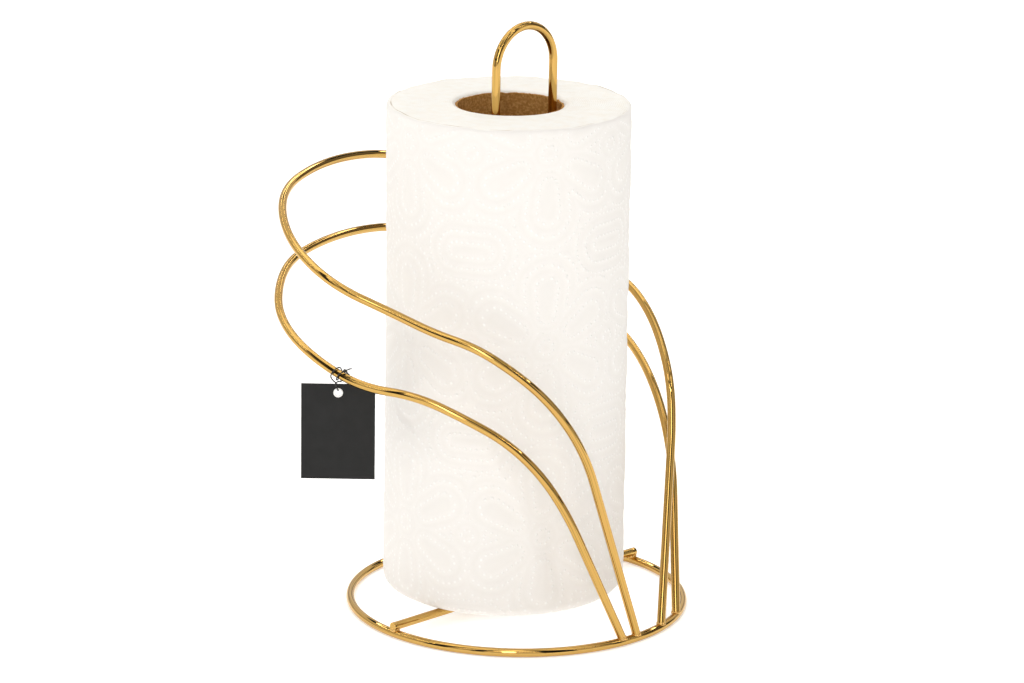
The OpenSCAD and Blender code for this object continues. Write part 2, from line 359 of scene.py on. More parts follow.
def gold_plated_steel(colour):
    """Gold-plated steel wire, drawn, bent and polished: mirror-bright, with faint lines along
    the wire from the drawing die, darker lines painted along it as dark reflection streaks,
    and a slightly cloudy gloss where fingers have touched it."""
    material, tree, shader = new_material("gold_plated_drawn_steel", colour, 0.07, 1.0)
    place = add_node(tree, "ShaderNodeTexCoord")
    # Handling haze comes in patches about 25 mm across
    haze = add_node(tree, "ShaderNodeTexNoise", place.outputs["Object"], None, 40, 3)
    gloss = add_node(
        tree, "ShaderNodeMapRange", haze, 0.35, 0.75, 0.03, 0.08, interpolation_type="SMOOTHSTEP"
    )
    # The plating is a little redder where it is thin, in patches about 8 mm across
    patches = add_node(tree, "ShaderNodeTexNoise", place.outputs["Object"], None, 120, 2)
    thin = add_node(tree, "ShaderNodeMapRange", patches, 0.4, 0.8, 0, 0.2)
    tint = add_node(
        tree, "ShaderNodeMix", data_type="RGBA",
        sockets={"Factor": thin, "A": (*colour, 1), "B": (*linear("#CE9C5E"), 1)},
    )
    # Darker lines 0.6 mm apart and 80 mm long: painted dark reflection streaks along the wire, and
    # die marks that hold less gold
    unwrapped = add_node(tree, "ShaderNodeUVMap", uv_map="along_wire")
    scratch_streak_map = add_node(tree, "ShaderNodeMapping", unwrapped, None, None, (1.6, 0.012, 1))
    scratch_streak_noise = add_node(tree, "ShaderNodeTexNoise", scratch_streak_map, None, 1, 2)
    scratch_streak_mask = add_node(tree, "ShaderNodeMapRange", scratch_streak_noise, 0.54, 0.64, 0, 0.55)
    streaked = add_node(
        tree, "ShaderNodeMix", data_type="RGBA",
        sockets={"Factor": scratch_streak_mask, "A": tint, "B": (*linear("#86622A"), 1)},
    )
    # Fine die lines: 0.25 mm apart round the wire, 40 mm long. The map counts millimetres
    drawn = add_node(tree, "ShaderNodeMapping", unwrapped, None, None, (4, 0.025, 1))
    lines = add_node(tree, "ShaderNodeTexNoise", drawn, None, 1, 2)
    # Ripple left by the straightening rolls, 6 mm long, which wavers the reflections
    rolled = add_node(tree, "ShaderNodeMapping", unwrapped, None, None, (0.5, 0.16, 1))
    ripple = add_node(tree, "ShaderNodeTexNoise", rolled, None, 1, 1)
    fine = add_node(tree, "ShaderNodeBump", 0.15, 0.000012, sockets={"Height": lines})
    coarse = add_node(
        tree, "ShaderNodeBump", 0.2, 0.00002,
        sockets={"Height": ripple, "Normal": fine},
    )
    set_sockets(tree, shader, {"Roughness": gloss, "Base Color": streaked, "Normal": coarse})
    return material


def gold_plated_weld(colour):
    """A resistance weld under gold plating: small melted beads that glint, with dull pits."""
    material, tree, shader = new_material("gold_plated_weld", colour, 0.18, 1.0)
    place = add_node(tree, "ShaderNodeTexCoord")
    # Pits and frozen ripples, 0.4 mm across
    pits = add_node(tree, "ShaderNodeTexNoise", place.outputs["Object"], None, 2500, 3)
    gloss = add_node(tree, "ShaderNodeMapRange", pits, 0.4, 0.7, 0.1, 0.45)
    dark = add_node(tree, "ShaderNodeMapRange", pits, 0.55, 0.75, 0, 0.8)
    scorch = add_node(
        tree, "ShaderNodeMix", data_type="RGBA",
        sockets={"Factor": dark, "A": (*colour, 1), "B": (*linear("#9C6A2A"), 1)},
    )
    bump = add_node(tree, "ShaderNodeBump", 0.6, 0.00015, sockets={"Height": pits})
    set_sockets(tree, shader, {"Roughness": gloss, "Base Color": scorch, "Normal": bump})
    return material


def joint_line():
    """The unplated line inside a butt joint: dark oxide brown and dull."""
    material, tree, shader = new_material("oxidised_joint_line", linear("#2A1408"), 0.6, 0.4)
    place = add_node(tree, "ShaderNodeTexCoord")
    grit = add_node(tree, "ShaderNodeTexNoise", place.outputs["Object"], None, 3000, 2)
    rust = add_node(
        tree, "ShaderNodeMix", data_type="RGBA",
        sockets={"Factor": grit, "A": (*linear("#2A1408"), 1), "B": (*linear("#5A2C10"), 1)},
    )
    set_sockets(tree, shader, {"Base Color": rust})
    return material


def embossed_tissue(settings):
    """Creped tissue paper, embossed with dotted petals: soft, matt and warm white. The dots
    catch the light on one side and the crepe between them is finely wrinkled."""
    material, tree, shader = new_material("embossed_tissue", settings.paper, 0.92, 0.0, 0.25)
    place = add_node(tree, "ShaderNodeTexCoord")
    # Which motif a point is on, in millimetres from its middle: along it and across it
    motif = add_node(tree, "ShaderNodeUVMap", uv_map="motif")
    across = add_node(tree, "ShaderNodeSeparateXYZ", motif)
    form = add_node(tree, "ShaderNodeAttribute", attribute_name="motif_form")
    sizes = add_node(tree, "ShaderNodeSeparateXYZ", form.outputs["Vector"])
    spine, first, taper = sizes.outputs
    show = add_node(tree, "ShaderNodeAttribute", attribute_name="motif_show")

    run = add_node(tree, "ShaderNodeMath", across.outputs[0], operation="ABSOLUTE")
    side = add_node(tree, "ShaderNodeMath", across.outputs[1], operation="ABSOLUTE")
    past = add_node(tree, "ShaderNodeMath", run, spine, operation="SUBTRACT")
    beyond = add_node(tree, "ShaderNodeMath", past, 0.0, operation="MAXIMUM")
    reach = add_node(tree, "ShaderNodeCombineXYZ", beyond, side)
    away = add_node(tree, "ShaderNodeVectorMath", reach, operation="LENGTH")
    narrowed = add_node(
        tree, "ShaderNodeMath", across.outputs[0], taper, away.outputs["Value"],
        operation="MULTIPLY_ADD",
    )
    outside = add_node(tree, "ShaderNodeMath", narrowed, first, operation="SUBTRACT")
    # The nearest dotted outline, and how far the point is from it
    level = add_node(
        tree, "ShaderNodeMath", outside, settings.ring_pitch, operation="DIVIDE"
    )
    nearest = add_node(tree, "ShaderNodeMath", level, operation="ROUND")
    outline = add_node(tree, "ShaderNodeMath", nearest, 0.0, operation="MAXIMUM")
    off_level = add_node(tree, "ShaderNodeMath", level, outline, operation="SUBTRACT")
    off_line = add_node(
        tree, "ShaderNodeMath", off_level, settings.ring_pitch, operation="MULTIPLY"
    )
    # How far along the outline the point is, counted from the middle of its long side
    line_r = add_node(
        tree, "ShaderNodeMath", outline, settings.ring_pitch, first, operation="MULTIPLY_ADD"
    )
    swing = add_node(tree, "ShaderNodeMath", beyond, side, operation="ARCTAN2")
    straight = add_node(tree, "ShaderNodeMath", run, spine, operation="MINIMUM")
    distance = add_node(
        tree, "ShaderNodeMath", swing, line_r, straight, operation="MULTIPLY_ADD"
    )
    count = add_node(
        tree, "ShaderNodeMath", distance, settings.dot_pitch, operation="DIVIDE"
    )
    part = add_node(tree, "ShaderNodeMath", count, operation="FRACT")
    off_part = add_node(tree, "ShaderNodeMath", part, 0.5, operation="SUBTRACT")
    off_dot = add_node(
        tree, "ShaderNodeMath", off_part, settings.dot_pitch, operation="MULTIPLY"
    )
    offset = add_node(tree, "ShaderNodeCombineXYZ", off_line, off_dot)
    from_dot = add_node(tree, "ShaderNodeVectorMath", offset, operation="LENGTH")
    dome = add_node(
        tree, "ShaderNodeMapRange", from_dot.outputs["Value"],
        settings.dot_size / 2, 0.1, 0.0, 1.0, interpolation_type="SMOOTHSTEP",
    )
    dots = add_node(
        tree, "ShaderNodeMath", dome, show.outputs["Fac"], operation="MULTIPLY"
    )
    # Crepe: wrinkles 0.6 mm apart, a little longer round the roll than up it
    creped = add_node(
        tree, "ShaderNodeMapping", place.outputs["Object"], None, None, (1, 1, 1.8)
    )
    crepe = add_node(tree, "ShaderNodeTexNoise", creped, None, 1300, 3)
    # Fibre clouding, about 3 mm across
    cloud = add_node(tree, "ShaderNodeTexNoise", place.outputs["Object"], None, 330, 3)
    shade = add_node(tree, "ShaderNodeMapRange", cloud, 0.3, 0.8, 0, 0.25)
    colour = add_node(
        tree, "ShaderNodeMix", data_type="RGBA",
        sockets={"Factor": shade, "A": (*settings.paper, 1), "B": (*linear("#EFECE8"), 1)},
    )
    # Painted highlight: the dots are painted lighter than the sheet round them, as the light they
    # catch
    dot_highlight = add_node(tree, "ShaderNodeMath", dots, 0.9, operation="MULTIPLY")
    # Less light reaches the troughs between two dotted outlines
    off_ridge = add_node(tree, "ShaderNodeMath", off_level, operation="ABSOLUTE")
    trough = add_node(
        tree, "ShaderNodeMapRange", off_ridge, 0.15, 0.5, 0.0, 0.1,
        interpolation_type="SMOOTHSTEP",
    )
    deep = add_node(tree, "ShaderNodeMath", trough, show.outputs["Fac"], operation="MULTIPLY")
    shaded = add_node(
        tree, "ShaderNodeMix", data_type="RGBA",
        sockets={"Factor": deep, "A": colour, "B": (*linear("#E2DDD6"), 1)},
    )
    highlighted = add_node(
        tree, "ShaderNodeMix", data_type="RGBA",
        sockets={"Factor": dot_highlight, "A": shaded, "B": (*linear("#FFFEFC"), 1)},
    )
    wrinkles = add_node(tree, "ShaderNodeBump", 0.25, 0.00008, sockets={"Height": crepe})
    embossing = add_node(
        tree, "ShaderNodeBump", 1.0, settings.dot_height * MM,
        sockets={"Height": dots, "Normal": wrinkles},
    )
    set_sockets(tree, shader, {
        "Sheen Weight": 0.15,
        "Sheen Roughness": 0.6,
        "Base Color": highlighted,
        "Normal": embossing,
    })
    return material


def cut_tissue(settings):
    """The roll's cut ends: hundreds of thin layers, sawn flat and slightly furry, so that the
    face shows faint rings and a soft mottle."""
    # Painted light: this colour is lighter than the side's paper, standing in for the brighter
    # light on the roll's top
    material, tree, shader = new_material("sawn_tissue", settings.sawn, 0.95, 0.0, 0.15)
    place = add_node(tree, "ShaderNodeTexCoord")
    centred = add_node(
        tree, "ShaderNodeMapping", place.outputs["Object"], (-ROLL_X * MM, 0, 0)
    )
    flat = add_node(tree, "ShaderNodeVectorMath", centred, (1, 1, 0), operation="MULTIPLY")
    radius = add_node(tree, "ShaderNodeVectorMath", flat, operation="LENGTH")
    wander = add_node(tree, "ShaderNodeTexNoise", place.outputs["Object"], None, 60, 2)
    wandered = add_node(
        tree, "ShaderNodeMath", wander, 0.004, radius.outputs["Value"],
        operation="MULTIPLY_ADD",
    )
    # Layers are 0.3 mm apart; they are drawn as bands of three so that they show
    turns = add_node(tree, "ShaderNodeMath", wandered, 7000.0, operation="MULTIPLY")
    layers = add_node(tree, "ShaderNodeMath", turns, operation="SINE")
    mottle = add_node(tree, "ShaderNodeTexNoise", place.outputs["Object"], None, 250, 4)
    shade = add_node(tree, "ShaderNodeMapRange", mottle, 0.35, 0.75, 0, 0.5)
    colour = add_node(
        tree, "ShaderNodeMix", data_type="RGBA",
        sockets={"Factor": shade, "A": (*settings.sawn, 1), "B": (*linear("#F6F0E6"), 1)},
    )
    # The outer sheet stands a little away from the one under it: a thin broken shadow
    rim = add_node(
        tree, "ShaderNodeMath", radius.outputs["Value"], (ROLL_R - 1.7) * MM,
        operation="SUBTRACT",
    )
    off_rim = add_node(tree, "ShaderNodeMath", rim, operation="ABSOLUTE")
    slit = add_node(tree, "ShaderNodeMapRange", off_rim, 0.00012, 0.0004, 1.0, 0.0)
    broken = add_node(tree, "ShaderNodeMapRange", wander, 0.42, 0.6, 0.0, 0.6)
    shadow = add_node(tree, "ShaderNodeMath", slit, broken, operation="MULTIPLY")
    parted = add_node(
        tree, "ShaderNodeMix", data_type="RGBA",
        sockets={"Factor": shadow, "A": colour, "B": (*linear("#B49E86"), 1)},
    )
    fur = add_node(tree, "ShaderNodeBump", 0.5, 0.0003, sockets={"Height": mottle})
    bands = add_node(
        tree, "ShaderNodeBump", 0.25, 0.0001,
        sockets={"Height": layers, "Normal": fur},
    )
    set_sockets(tree, shader, {"Base Color": parted, "Normal": bands})
    return material


def spiral_wound_board(colour):
    """Spiral-wound grey board, made from waste paper: brown, with dark and pale flecks and the
    butt line of the winding."""
    material, tree, shader = new_material("spiral_wound_board", colour, 0.85, 0.0, 0.2)
    place = add_node(tree, "ShaderNodeTexCoord")
    centred = add_node(
        tree, "ShaderNodeMapping", place.outputs["Object"], (-ROLL_X * MM, 0, 0)
    )
    axes = add_node(tree, "ShaderNodeSeparateXYZ", centred)
    angle = add_node(
        tree, "ShaderNodeMath", axes.outputs[1], axes.outputs[0], operation="ARCTAN2"
    )
    turn = add_node(tree, "ShaderNodeMath", angle, math.tau, operation="DIVIDE")
    # One winding of the board climbs 75 mm
    climb = add_node(
        tree, "ShaderNodeMath", axes.outputs[2], 1 / 0.075, turn, operation="MULTIPLY_ADD"
    )
    ply = add_node(tree, "ShaderNodeMath", climb, operation="FRACT")
    butt = add_node(tree, "ShaderNodeMapRange", ply, 0.0, 0.012, 1.0, 0.0)
    # Flecks 1 mm across and fibres 3 mm long
    flecks = add_node(tree, "ShaderNodeTexNoise", place.outputs["Object"], None, 900, 3)
    speck = add_node(tree, "ShaderNodeMapRange", flecks, 0.42, 0.66, 0.0, 1.0)
    fibred = add_node(
        tree, "ShaderNodeMapping", place.outputs["Object"], None, None, (1, 1, 5)
    )
    fibres = add_node(tree, "ShaderNodeTexNoise", fibred, None, 400, 4)
    tone = add_node(
        tree, "ShaderNodeMix", data_type="RGBA",
        sockets={"Factor": speck, "A": (*linear("#94662F"), 1), "B": (*linear("#D6A768"), 1)},
    )
    grey = add_node(
        tree, "ShaderNodeMix", data_type="RGBA",
        sockets={"Factor": fibres, "A": tone, "B": (*colour, 1)},
    )
    line = add_node(
        tree, "ShaderNodeMix", data_type="RGBA",
        sockets={"Factor": butt, "A": grey, "B": (*linear("#5C4024"), 1)},
    )
    bump = add_node(tree, "ShaderNodeBump", 0.5, 0.0002, sockets={"Height": flecks})
    set_sockets(tree, shader, {"Base Color": line, "Normal": bump})
    return material


def dyed_card(colour):
    """Card dyed through to charcoal and left uncoated: matt, with a fine felt grain."""
    material, tree, shader = new_material("dyed_uncoated_card", colour, 0.75, 0.0, 0.2)
    place = add_node(tree, "ShaderNodeTexCoord")
    # Felt marks 0.5 mm across, and paper clouding 6 mm across
    felt = add_node(tree, "ShaderNodeTexNoise", place.outputs["Object"], None, 2000, 3)
    cloud = add_node(tree, "ShaderNodeTexNoise", place.outputs["Object"], None, 160, 2)
    mixed = add_node(tree, "ShaderNodeMath", felt, 0.5, cloud, operation="MULTIPLY_ADD")
    shade = add_node(tree, "ShaderNodeMapRange", mixed, 0.5, 1.0, 0, 1)
    tone = add_node(
        tree, "ShaderNodeMix", data_type="RGBA",
        sockets={
            "Factor": shade,
            "A": (*[c * 0.92 for c in colour], 1),
            "B": (*[c * 1.1 for c in colour], 1),
        },
    )
    bump = add_node(tree, "ShaderNodeBump", 0.3, 0.00006, sockets={"Height": felt})
    set_sockets(tree, shader, {"Base Color": tone, "Normal": bump})
    return material


def enamelled_brass(colour):
    """A rolled brass eyelet under white enamel: glossy, with small worn patches."""
    material, tree, shader = new_material("enamelled_eyelet", colour, 0.25, 0.0, 0.5)
    place = add_node(tree, "ShaderNodeTexCoord")
    wear = add_node(tree, "ShaderNodeTexNoise", place.outputs["Object"], None, 1500, 3)
    gloss = add_node(tree, "ShaderNodeMapRange", wear, 0.4, 0.7, 0.18, 0.5)
    worn = add_node(tree, "ShaderNodeMapRange", wear, 0.6, 0.75, 0, 0.7)
    tone = add_node(
        tree, "ShaderNodeMix", data_type="RGBA",
        sockets={"Factor": worn, "A": (*colour, 1), "B": (*linear("#B9B6AE"), 1)},
    )
    set_sockets(tree, shader, {"Roughness": gloss, "Base Color": tone})
    return material


def twisted_cotton(colour):
    """Two-ply mercerised cotton thread: near black, with a soft shine on each ply."""
    material, tree, shader = new_material("twisted_cotton", colour, 0.6, 0.0, 0.4)
    place = add_node(tree, "ShaderNodeTexCoord")
    # Fibres 0.1 mm thick
    fibres = add_node(tree, "ShaderNodeTexNoise", place.outputs["Object"], None, 9000, 2)
    shade = add_node(tree, "ShaderNodeMapRange", fibres, 0.45, 0.75, 0, 1)
    tone = add_node(
        tree, "ShaderNodeMix", data_type="RGBA",
        sockets={"Factor": shade, "A": (*colour, 1), "B": (*linear("#35322E"), 1)},
    )
    bump = add_node(tree, "ShaderNodeBump", 0.5, 0.00005, sockets={"Height": fibres})
    set_sockets(tree, shader, {
        "Sheen Weight": 0.3,
        "Sheen Roughness": 0.4,
        "Base Color": tone,
        "Normal": bump,
    })
    return material


def lit_table(colour):
    """Opal acrylic table top, cast and sanded matt: lit from below, so that shadows on it
    nearly vanish, with the faint mottle of the sanding."""
    material, tree, shader = new_material("cast_opal_acrylic", colour, 0.9, 0.0, 0.0)
    place = add_node(tree, "ShaderNodeTexCoord")
    mottle = add_node(tree, "ShaderNodeTexNoise", place.outputs["Object"], None, 3, 2)
    tone = add_node(
        tree, "ShaderNodeMix", data_type="RGBA",
        sockets={"Factor": mottle, "A": (*colour, 1), "B": (*[c * 0.985 for c in colour], 1)},
    )
    set_sockets(tree, shader, {
        "Emission Color": (1, 1, 1, 1),
        "Emission Strength": 0.4,
        "Base Color": tone,
    })
    return material


# ---------------------------------------------------------------- wires


def start_wire(bm, place, direction, radius, sides):
    """A ring of points round the start of a wire. Returns its edges."""
    facing = direction.to_track_quat("Z", "Y").to_matrix().to_4x4()
    made = bmesh.ops.create_circle(
        bm, cap_ends=False, segments=sides, radius=radius,
        matrix=Matrix.Translation(place) @ facing,
    )
    side = bm.verts.layers.int["side"]
    for i, v in enumerate(made["verts"]):
        v[side] = i
    return list({e for v in made["verts"] for e in v.link_edges})


def bend_wire(bm, ring, start, direction, end, step, sense=1):
    """Spins the ring along the arc that leaves start along direction and reaches end. Its
    labels count up along the wire, or down where sense is -1."""
    chord = end - start
    inward = (chord - chord.dot(direction) * direction).normalized()
    radius = chord.length_squared / (2 * chord.dot(inward))
    turn = 2 * math.atan2(chord.dot(inward), chord.dot(direction))
    axis = (-inward).cross(direction)
    steps = max(1, math.ceil(radius * turn / step))
    run = bm.verts.layers.float["run"]
    for _ in range(steps):
        reached = ring[0].verts[0][run] + sense * radius * turn / steps
        made = bmesh.ops.spin(
            bm, geom=verts_of(ring) + ring, cent=start + radius * inward, axis=axis,
            dvec=(0, 0, 0), angle=turn / steps, steps=1, use_merge=False,
            use_duplicate=False,
        )
        ring = [e for e in made["geom_last"] if isinstance(e, bmesh.types.BMEdge)]
        for v in verts_of(ring):
            v[run] = reached
    return ring


def extrude_ring(bm, ring):
    """Extrudes a wire's last ring in place. Returns the new points and the new ring."""
    made = bmesh.ops.extrude_edge_only(bm, edges=ring)
    fresh = [v for v in made["geom"] if isinstance(v, bmesh.types.BMVert)]
    inside = set(fresh)
    edges = [e for e in made["geom"] if isinstance(e, bmesh.types.BMEdge)]
    return fresh, [e for e in edges if inside.issuperset(e.verts)]


def run_straight(bm, ring, offset, pieces=1, sense=1):
    """Extrudes the ring by a straight offset."""
    run = bm.verts.layers.float["run"]
    for _ in range(pieces):
        reached = ring[0].verts[0][run] + sense * offset.length / pieces
        fresh, ring = extrude_ring(bm, ring)
        bmesh.ops.translate(bm, vec=offset / pieces, verts=fresh)
        for v in fresh:
            v[run] = reached
    return ring


def close_end(bm, ring, rounding):
    """Caps a wire's end and takes the sharp edge off it."""
    bmesh.ops.holes_fill(bm, edges=ring, sides=len(ring))
    if rounding:
        bmesh.ops.bevel(
            bm, geom=ring, offset=rounding, offset_type="OFFSET", segments=3, profile=0.5,
            affect="EDGES", material=-1,
        )


def new_wire_mesh():
    """An empty bmesh with the layers that a wire's rings are labelled in."""
    bm = bmesh.new()
    bm.verts.layers.int.new("side")
    bm.verts.layers.float.new("run")
    bm.loops.layers.uv.new("along_wire")
    return bm


def finish_wire(bm, sides, wire_d):
    """Unwraps a wire in millimetres, round it and along it, and points its faces outwards."""
    side = bm.verts.layers.int["side"]
    run = bm.verts.layers.float["run"]
    unwrap = bm.loops.layers.uv["along_wire"]
    width = math.pi * wire_d / sides
    for face in bm.faces:
        labels = [v[side] for v in face.verts]
        wraps = max(labels) - min(labels) > sides / 2
        for loop in face.loops:
            label = loop.vert[side]
            around = label + sides if wraps and label < sides / 2 else label
            loop[unwrap].uv = (around * width, loop.vert[run])
    bm.verts.layers.int.remove(side)
    bm.verts.layers.float.remove(run)
    bmesh.ops.recalc_face_normals(bm, faces=bm.faces)
    in_metres(bm)


def turned(point, angle):
    return Matrix.Rotation(math.radians(angle), 3, "Z") @ Vector(point)


def ring_point(angle):
    return turned((RING_R, 0, FOOT_Z), angle)


def arm_route(arm, side, foot):
    """Half an arm's bends, from its closed end to its foot."""
    bends = [
        turned((x, side * y, arm["height"] - drop), arm["turn"]) for x, y, drop in arm["bends"]
    ]
    return bends + [ring_point(foot)]


def route_directions(route, first):
    """The wire's direction at each bend: along the circle through three points, and straight
    from the last bend to the foot."""
    leg = (route[-1] - route[-2]).normalized()
    dirs = [first]
    for before, here, after in zip(route[:-3], route[1:-2], route[2:-1]):
        back, ahead = here - before, after - here
        dirs.append((back / back.length_squared + ahead / ahead.length_squared).normalized())
    return dirs + [leg, leg]


def arc_handle(chord, start_dir, end_dir):
    """Length of both handles of the two equal-handled arcs that join two points."""
    both = start_dir + end_dir
    k = 2 * (1 - start_dir.dot(end_dir))
    along = chord.dot(both)
    return (math.sqrt(along * along + k * chord.length_squared) - along) / k


def half_arm(bm, ring, route, dirs, step, sense):
    """Runs the wire along half an arm and returns the ring at its foot."""
    for i in range(len(route) - 2):
        handle = arc_handle(route[i + 1] - route[i], dirs[i], dirs[i + 1])
        near = route[i] + handle * dirs[i]
        far = route[i + 1] - handle * dirs[i + 1]
        middle = (near + far) / 2
        heading = (far - near).normalized()
        ring = bend_wire(bm, ring, route[i], dirs[i], middle, step, sense)
        ring = bend_wire(bm, ring, middle, heading, route[i + 1], step, sense)
    return run_straight(bm, ring, route[-1] - route[-2], 12, sense)


def make_arm(arm, settings):
    """One guard arm: two halves that leave the closed end in opposite directions."""
    bm = new_wire_mesh()
    middle = turned((arm["bends"][0][0], 0, arm["height"]), arm["turn"])
    first = turned((0, -1, 0), arm["turn"])
    ring = start_wire(bm, middle, first, WIRE_D / 2, settings.sides)
    for sign, foot in ((1, arm["front_foot"]), (-1, arm["back_foot"])):
        route = arm_route(arm, -sign, foot)
        dirs = route_directions(route, sign * first)
        end = half_arm(bm, ring, route, dirs, settings.step, sign)
        close_end(bm, end, 0)
    finish_wire(bm, settings.sides, WIRE_D)
    return bm


def weld_bead(bm, place, radius, stretch, seed):
    """One frozen bead: a ball, flattened and dented by noise."""
    made = bmesh.ops.create_icosphere(
        bm, subdivisions=4 if radius > 1 else 2, radius=radius, matrix=Matrix.Identity(4)
    )
    shift = Vector((seed * 7.1, seed * 3.7, seed * 1.3))
    for v in made["verts"]:
        dent = 0.14 * noise.noise(v.co / radius * 1.6 + shift)
        dent += 0.07 * noise.noise(v.co / radius * 4.5 + shift)
        v.co *= 1 + dent
    bmesh.ops.scale(bm, vec=stretch, verts=made["verts"])
    bmesh.ops.translate(bm, vec=place, verts=made["verts"])


# ---------------------------------------------------------------- the paper's embossing


def smooth_between(low, high, value):
    """0 below low, 1 above high, and smooth between them."""
    t = np.clip((value - low) / (high - low), 0, 1)
    return t * t * (3 - 2 * t)


def flower_motifs(settings, seam):
    """Every motif on the roll as (place round it, height, turn, half spine, first outline,
    taper), in millimetres: each flower has an eye and six petals, with a boss beside it and
    an oval between the rows."""
    pitch = math.tau * ROLL_R / settings.flowers
    rise = settings.flower_rise
    petal_reach = 20.5
    first_row = 39
    eye, boss, petal, oval = (0.01, 3.4, 0), (0.01, 2.8, 0), (6, 4.7, -0.12), (7, 3.4, 0)
    motifs = []
    for column in range(settings.flowers):
        for row in range(-1, 4):
            s = seam + column * pitch
            z = first_row + row * rise
            motifs.append((s, z, 0, *eye))
            for turn in range(30, 390, 60):
                a = math.radians(turn)
                x, y = petal_reach * math.cos(a), petal_reach * math.sin(a)
                motifs.append((s + x, z + y, a, *petal))
            motifs.append((s + pitch / 2, z, 0, *boss))
            motifs.append((s + pitch / 2, z + rise / 2, 0, *oval))
    return np.array(motifs)


def in_motif(motifs, chosen, s, z):
    """Where points lie in the chosen motifs' own axes, the short way round the roll."""
    m = motifs[chosen]
    girth = math.tau * ROLL_R
    ds = (s - m[..., 0] + girth / 2) % girth - girth / 2
    dz = z - m[..., 1]
    c, k = np.cos(m[..., 2]), np.sin(m[..., 2])
    return ds * c + dz * k, dz * c - ds * k


def beyond_first_outline(motifs, chosen, s, z):
    """How far points lie outside a motif's first outline."""
    x, y = in_motif(motifs, chosen, s, z)
    m = motifs[chosen]
    past = np.maximum(np.abs(x) - m[..., 3], 0)
    return np.hypot(past, y) + m[..., 5] * x - m[..., 4]


def two_nearest(motifs, s, z):
    """The nearest motif to each point, how far outside it the point is, and how much further
    the next one is."""
    best = np.full(len(s), np.inf)
    second = np.full(len(s), np.inf)
    chosen = np.zeros(len(s), int)
    for i in range(len(motifs)):
        d = beyond_first_outline(motifs, i, s, z)
        closer = d < best
        second = np.where(closer, best, np.minimum(second, d))
        chosen = np.where(closer, i, chosen)
        best = np.where(closer, d, best)
    return chosen, best, second - best


def soft_fold(s, z, route, width, height):
    """A rounded fold that follows a short list of (place round the roll, height) points."""
    heights = [p[1] for p in route]
    middle = np.interp(z, heights, [p[0] for p in route])
    ends = smooth_between(heights[0] - 12, heights[0] + 8, z)
    ends = ends * (1 - smooth_between(heights[-1] - 14, heights[-1] + 10, z))
    return height * ends * np.exp(-(((s - middle) / width) ** 2))


def wavy(s, z, waves):
    """A sum of long sine waves round the roll: (waves round it, waves per metre up, phase)."""
    return sum(
        height * np.sin(around * s / ROLL_R + up * z * MM * math.tau + phase)
        for around, up, phase, height in waves
    )


# ---------------------------------------------------------------- operators


